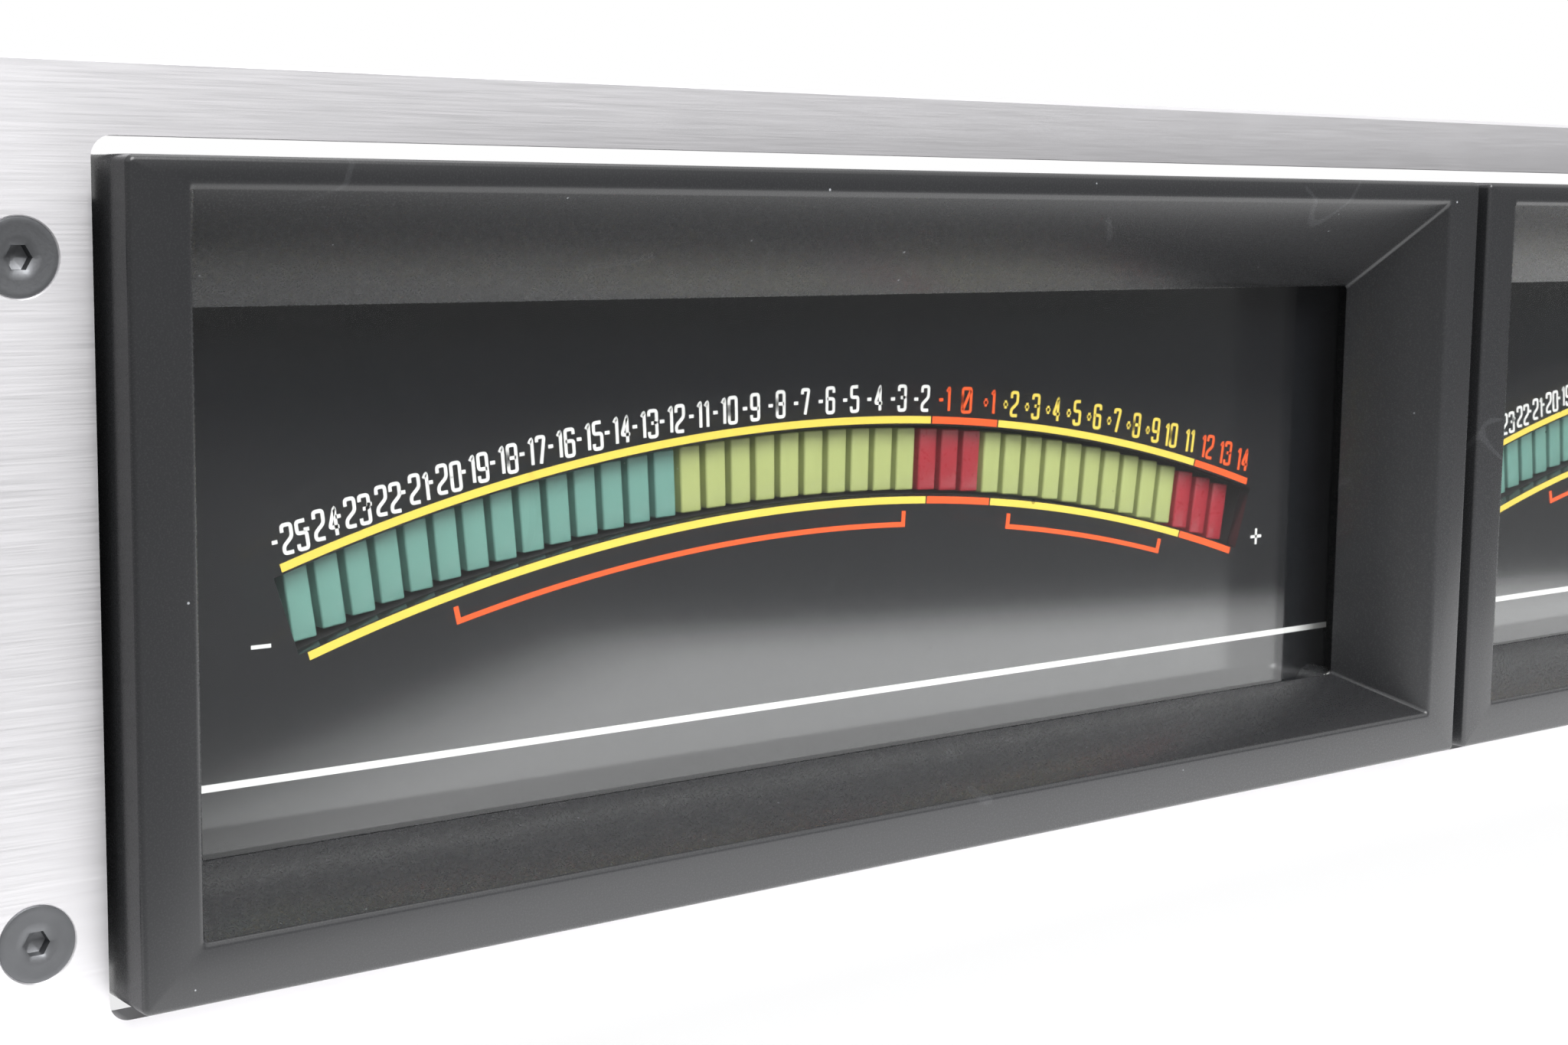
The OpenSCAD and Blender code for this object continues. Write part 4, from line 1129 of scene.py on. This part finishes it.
            self.font.write(inks[ink], self.figure(index), place, *self.layer)
        arm = self.sign_arm
        for sign in (-1, 1):
            x, z = self.on_arc(self.lamp_radius - self.sign_drop, sign * (self.half + self.sign_angle))
            self.stroke(inks[Ink.WHITE], [(x - arm, z), (x + arm, z)], self.font.stroke)
            if sign > 0:
                self.stroke(inks[Ink.WHITE], [(x, z - arm), (x, z + arm)], self.font.stroke)

    def print_ranges(self, inks: dict[Ink, Solid]) -> None:
        """Prints the two range marks under the lamps and the rule under the scale.

        Args:
            inks: The mesh of each ink.
        """
        for first, last in self.ranges:
            start, end = self.lamp_angle(first), self.lamp_angle(last)
            ticks = [self.on_arc(self.range_radius + self.range_tick, angle) for angle in (start, end)]
            path = [ticks[0], *self.arc(self.range_radius, start, end), ticks[1]]
            self.stroke(inks[Ink.ORANGE], path, self.range_line)
        low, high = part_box(f"scale_plate_{self.side.value}")
        z = self.centre[1] + self.line_radius - self.arc_top - self.rule_drop
        self.stroke(inks[Ink.WHITE], [(low.x, z), (high.x, z)], self.rule)

    def build(self, shop: Workshop) -> None:
        """Prints the scale on the plate.

        Args:
            shop: The finishes and the trees.
        """
        inks = {ink: Solid() for ink in Ink}
        self.print_lines(inks)
        self.print_figures(inks)
        self.print_ranges(inks)
        for ink, solid in inks.items():
            piece = solid.piece(f"print_{ink.name.lower()}_{self.side.value}", shop.ink(ink))
            shop.hand_over(piece, "scale_print")


def joined(meshes: Sequence[bpy.types.Mesh]) -> bpy.types.Mesh:
    """Joins meshes into one.

    Args:
        meshes: The meshes, which are used up.

    Returns:
        The joined mesh.
    """
    shape = bmesh.new()
    for mesh in meshes:
        shape.from_mesh(mesh)
        bpy.data.meshes.remove(mesh)
    made = bpy.data.meshes.new("joined")
    shape.to_mesh(made)
    shape.free()
    return made


@dataclass
class Lamps:
    """The lamps of both meters, one piece for each colour.

    Attributes:
        scales: The scales that they stand in.
        edge: Rounding of a lamp's edges.
        lead: Width of a lead.
        lead_pitch: Distance between a lamp's two leads.
        groups: First and last lamp, less one, of each stretch of a colour.
    """

    scales: Sequence[Scale]
    edge: float = 0.22 * MM
    lead: float = 0.5 * MM
    lead_pitch: float = 2.54 * MM
    groups: dict[str, tuple[tuple[int, int], ...]] = field(default_factory=lambda: {
        "green": ((0, 14),), "yellow": ((14, 24), (27, 37)), "red": ((24, 27), (37, 40)),
    })

    def lamp(self, shop: Workshop, colour: str) -> bpy.types.Object:
        """Builds one lamp with its leads, in front of the board.

        Args:
            shop: The finishes and the trees.
            colour: Its colour.

        Returns:
            The lamp, in the middle of the row.
        """
        node = f"bars_{colour}"
        low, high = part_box(node)
        wide, tall, deep = self.scales[0].lamp
        shape = bmesh.new()
        bmesh.ops.create_cube(shape, size=1.0, matrix=Matrix.Translation((0.0, low.y + deep / 2, 0.0))
                              @ Matrix.Diagonal((wide, deep, tall, 1.0)))
        front = [e for e in shape.edges if min(v.co.y for v in e.verts) < low.y + deep / 2]
        bmesh.ops.bevel(shape, geom=front, offset=self.edge, segments=3, profile=0.5, affect="EDGES")
        for sign in (-1, 1):
            back = low.y + deep
            middle = (0.0, (back + high.y) / 2, sign * self.lead_pitch / 2)
            bmesh.ops.create_cube(shape, size=1.0, matrix=Matrix.Translation(middle)
                                  @ Matrix.Diagonal((self.lead, high.y - back, self.lead, 1.0)))
        mesh = bpy.data.meshes.new("lamp")
        shape.to_mesh(mesh)
        shape.free()
        return finished("lamp", mesh, shop.paint(f"bar_{colour}"), 40.0)

    def build(self, shop: Workshop) -> None:
        """Builds the row of each colour with the tree for rows.

        Args:
            shop: The finishes and the trees.
        """
        for colour, spans in self.groups.items():
            lamp = self.lamp(shop, colour)
            meshes = []
            for scale in self.scales:
                x, z = scale.centre
                for first, last in spans:
                    meshes.append(shop.arc_row.run(
                        Piece=lamp, Finish=shop.paint(f"bar_{colour}"), Count=last - first,
                        First_angle=math.radians(scale.lamp_angle(first + 0.5)),
                        Step=math.radians(scale.step), Radius=scale.lamp_radius, Lean=scale.lean,
                        Centre=(x, 0.0, z)))
            bpy.data.objects.remove(lamp)
            piece = finished(f"lamps_{colour}", joined(meshes), shop.paint(f"bar_{colour}"), 40.0)
            shop.hand_over(piece, f"bar_{colour}", f"bars_{colour}")


@dataclass
class PanelScrews:
    """Four countersunk panel screws with hexagonal sockets.

    Attributes:
        head: Radius of the head.
        shank: Radius of the shank.
        head_depth: Depth of the head.
        socket: Radius of the socket, to its corners.
        socket_depth: Depth of the socket.
        tip: Radius and depth of the drill's tip below the socket.
        chamfer: Width of the chamfer round the socket.
        dish: Radii of the shallow dish round it, which rises outwards.
        crown: Radius of the head's highest ring.
        point: Width of the bevel at the shank's end.
    """

    head: float = 3.3 * MM
    shank: float = 1.5 * MM
    head_depth: float = 1.8 * MM
    socket: float = 1.15 * MM
    socket_depth: float = 1.25 * MM
    tip: float = 0.3 * MM
    chamfer: float = 0.22 * MM
    dish: Point = (1.9 * MM, 2.75 * MM)
    crown: float = 2.95 * MM
    point: float = 0.4 * MM

    def build(self, shop: Workshop) -> None:
        """Builds one screw and copies it to the corners with the tree for corners.

        Args:
            shop: The finishes and the trees.
        """
        low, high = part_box("panel_screws")
        front, back = low.y, high.y
        rings = [
            disc_ring(self.tip, front + self.socket_depth + self.tip),
            disc_ring(self.socket, front + self.socket_depth, sides=6),
            disc_ring(self.socket, front + self.chamfer, sides=6),
            disc_ring(self.socket + self.chamfer, front + 0.06 * MM),
            disc_ring(self.dish[0], front + 0.03 * MM),
            disc_ring(self.dish[1], front + 0.02 * MM),
            disc_ring(self.crown, front),
            disc_ring(self.head - 0.12 * MM, front + 0.02 * MM),
            disc_ring(self.head, front + 0.14 * MM),
            disc_ring(self.shank, front + self.head_depth),
            disc_ring(self.shank, back - self.point),
            disc_ring(self.shank - self.point, back),
        ]
        solid = Solid()
        solid.loft(rings)
        screw = solid.piece("screw", shop.paint("dark_screws"), 30.0)
        mesh = shop.corners.run(
            Piece=screw, Finish=shop.paint("dark_screws"),
            Width=high.x - low.x - 2 * self.head, Height=high.z - low.z - 2 * self.head)
        bpy.data.objects.remove(screw)
        piece = finished("countersunk_screws", mesh, shop.paint("dark_screws"), 30.0)
        shop.hand_over(piece, "dark_screws", "panel_screws")


@dataclass
class Hardware:
    """The nodes whose shape is right as it is."""

    def dress(self, shop: Workshop) -> None:
        """Gives every node that still shows the finish of its slot.

        Args:
            shop: The finishes and the trees.
        """
        slots = {part["node"]: part["material_slot"] for part in frame["record"]["subparts"]}
        for name, node in frame["nodes"].items():
            if node.hide_render:
                continue
            node.data.materials.clear()
            node.data.materials.append(shop.paint(slots[name]))
            log.info("%s: %s", name, slots[name])


# Studio ---------------------------------------------------------------------------


@dataclass
class Studio:
    """Floor, world, lamps and camera.

    Attributes:
        camera_place: Place of the camera.
        forward: Direction that it looks in.
        roll: Its tilt to the right, in degrees.
        lens: Focal length in millimetres on a 36 mm sensor.
        floor_size: Side of the floor.
        edges: Slope and start of the two lines that the front edge of the lit table follows.
        edge_turn: Length over which one line turns into the other.
        edge_soft: Half of the width over which the table fades at its edge.
        table_level: Strength of the table in reflections.
        table_bounce: What its soft light adds, as a share of that strength.
        room_levels: Strength of the room's floor in reflections, far off and near the edge.
        room_reach: Distance over which the room's floor fades.
        sky_levels: Strength of the room in reflections, at eye level and above.
        soft_level: Strength of the world as soft light.
        softboxes: Place, side and power in watts of each soft lamp.
    """

    camera_place: Place = (-0.2611, -0.1974, 0.03385)
    forward: Place = (0.6189, 0.7747, -0.1297)
    roll: float = 0.75
    lens: float = 57.6
    floor_size: float = 8.0
    edges: tuple[Point, Point] = ((-0.7, -0.164), (0.27, -0.149))
    edge_turn: float = 0.02
    edge_soft: float = 0.03
    table_level: float = 1.8
    table_bounce: float = 1.7
    room_levels: Point = (0.1, 0.26)
    room_reach: float = 0.6
    sky_levels: Point = (0.1, 1.2)
    soft_level: float = 0.42
    softboxes: dict[str, tuple[Place, float, float]] = field(default_factory=lambda: {
        "key": ((-0.1, -1.6, 1.4), 1.2, 43.0),
        "top": ((0.3, 0.1, 1.9), 1.6, 16.0),
        "back": ((0.9, 1.6, 1.2), 1.2, 20.0),
    })

    def table_levels(self, tree: Tree) -> bpy.types.NodeSocket:
        """Gives the level of the lit table near the part, and of the dim room beyond its edge.

        Args:
            tree: The floor's tree.

        Returns:
            The socket of the level.
        """
        place = tree.node("ShaderNodeTexCoord").outputs["Object"]
        x, y, _ = tree.node("ShaderNodeSeparateXYZ", {0: place}).outputs
        left, right = (tree.math("ADD", tree.math("MULTIPLY", x, slope), start)
                       for slope, start in self.edges)
        inside = tree.math("SUBTRACT", y, tree.math("SMOOTH_MAX", left, right, self.edge_turn))
        lit = tree.ramp(inside, (-self.edge_soft, 0.0), (self.edge_soft, self.table_level), "SMOOTHSTEP")
        far, near = self.room_levels
        room = tree.ramp(inside, (-self.room_reach, far), (0.0, near), "SMOOTHSTEP")
        return tree.math("MAXIMUM", lit, room)

    def build_floor(self) -> None:
        """Lays a pale floor under the part, which keeps a soft shadow.

        In reflections, and as soft light, it is a table that ends in front of the part.
        """
        half = self.floor_size / 2
        z = CAD_BOX[0].z - 0.1 * MM
        corners = [(-half, -half, z), (half, -half, z), (half, half, z), (-half, half, z)]
        mesh = bpy.data.meshes.new("floor")
        mesh.from_pydata(corners, [], [(0, 1, 2, 3)])
        floor = bpy.data.objects.new("floor", mesh)
        bpy.context.scene.collection.objects.link(floor)
        material = bpy.data.materials.new("floor")
        material.use_nodes = True
        material.node_tree.nodes.clear()
        tree = Tree(material.node_tree)
        path = tree.node("ShaderNodeLightPath").outputs
        white = tree.node("ShaderNodeEmission").outputs[0]
        shade = tree.node("ShaderNodeBsdfDiffuse", {"Color": (0.82, 0.82, 0.83, 1.0)}).outputs[0]
        shade = tree.shaded(tree.math("MULTIPLY", path["Is Camera Ray"], 0.8), shade, white)
        shade = tree.shaded(path["Is Transmission Ray"], shade, white)
        bounce = tree.math("MULTIPLY_ADD", path["Is Diffuse Ray"], self.table_bounce, 1.0)
        strength = tree.math("MULTIPLY", self.table_levels(tree), bounce)
        table = tree.node("ShaderNodeEmission", {"Strength": strength}).outputs[0]
        shade = tree.shaded(tree.math("ADD", path["Is Diffuse Ray"], path["Is Glossy Ray"]), shade, table)
        tree.node("ShaderNodeOutputMaterial", {0: shade})
        mesh.materials.append(material)

    def build_world(self) -> None:
        """Makes the world: white to the camera, a plain soft grey as light.

        In reflections it is white behind the part, and a room in front of it that is dim at
        eye level and bright above.
        """
        world = bpy.data.worlds.new("studio")
        world.use_nodes = True
        bpy.context.scene.world = world
        tree = Tree(world.node_tree)
        path = tree.node("ShaderNodeLightPath").outputs
        place = tree.node("ShaderNodeTexCoord").outputs["Generated"]
        _, y, z = tree.node("ShaderNodeSeparateXYZ", {0: place}).outputs
        behind = tree.ramp(y, (-0.1, 0.0), (0.35, 1.0))
        room = tree.ramp(z, (0.05, self.sky_levels[0]), (0.35, self.sky_levels[1]))
        mirrored = tree.between(behind, room, 1.0)
        light = tree.between(path["Is Glossy Ray"], self.soft_level, mirrored)
        direct = tree.math("MAXIMUM", path["Is Camera Ray"], path["Is Transmission Ray"])
        background = world.node_tree.nodes["Background"]
        background.inputs["Color"].default_value = (1.0, 1.0, 1.0, 1.0)
        tree.link(tree.between(direct, light, 1.0), background.inputs["Strength"])

    def hang_softboxes(self) -> None:
        """Hangs the square soft lamps, which face the part."""
        for name, (place, side, power) in self.softboxes.items():
            light = bpy.data.lights.new(name, "AREA")
            light.size = side
            light.energy = power
            lamp = bpy.data.objects.new(name, light)
            lamp.location = place
            lamp.rotation_euler = (-Vector(place)).to_track_quat("-Z", "Y").to_euler()
            bpy.context.scene.collection.objects.link(lamp)

    def build_camera(self) -> None:
        """Sets the camera."""
        data = bpy.data.cameras.new("camera")
        data.lens = self.lens
        data.sensor_width = 36.0
        data.clip_start = 0.005
        camera = bpy.data.objects.new("camera", data)
        ahead = Vector(self.forward).normalized()
        right = ahead.cross(Vector((0.0, 0.0, 1.0))).normalized()
        up = right.cross(ahead)
        a = math.radians(self.roll)
        right, up = right * math.cos(a) + up * math.sin(a), up * math.cos(a) - right * math.sin(a)
        turned = Matrix((right, up, -ahead)).transposed().to_4x4()
        camera.matrix_world = Matrix.Translation(self.camera_place) @ turned
        bpy.context.scene.collection.objects.link(camera)
        bpy.context.scene.camera = camera

    def build(self) -> None:
        """Builds the whole studio."""
        self.build_floor()
        self.build_world()
        self.hang_softboxes()
        self.build_camera()
        bpy.context.scene.view_settings.view_transform = "Standard"


def main() -> None:
    """Builds the studio and each sub-assembly in order."""
    Studio().build()
    shop = Workshop()
    scales = [Scale(side) for side in Side]
    for side in Side:
        Bezel(side).build(shop)
    for scale in scales:
        scale.build(shop)
    Lamps(scales).build(shop)
    PanelScrews().build(shop)
    Hardware().dress(shop)


if __name__ == "__main__":
    main()
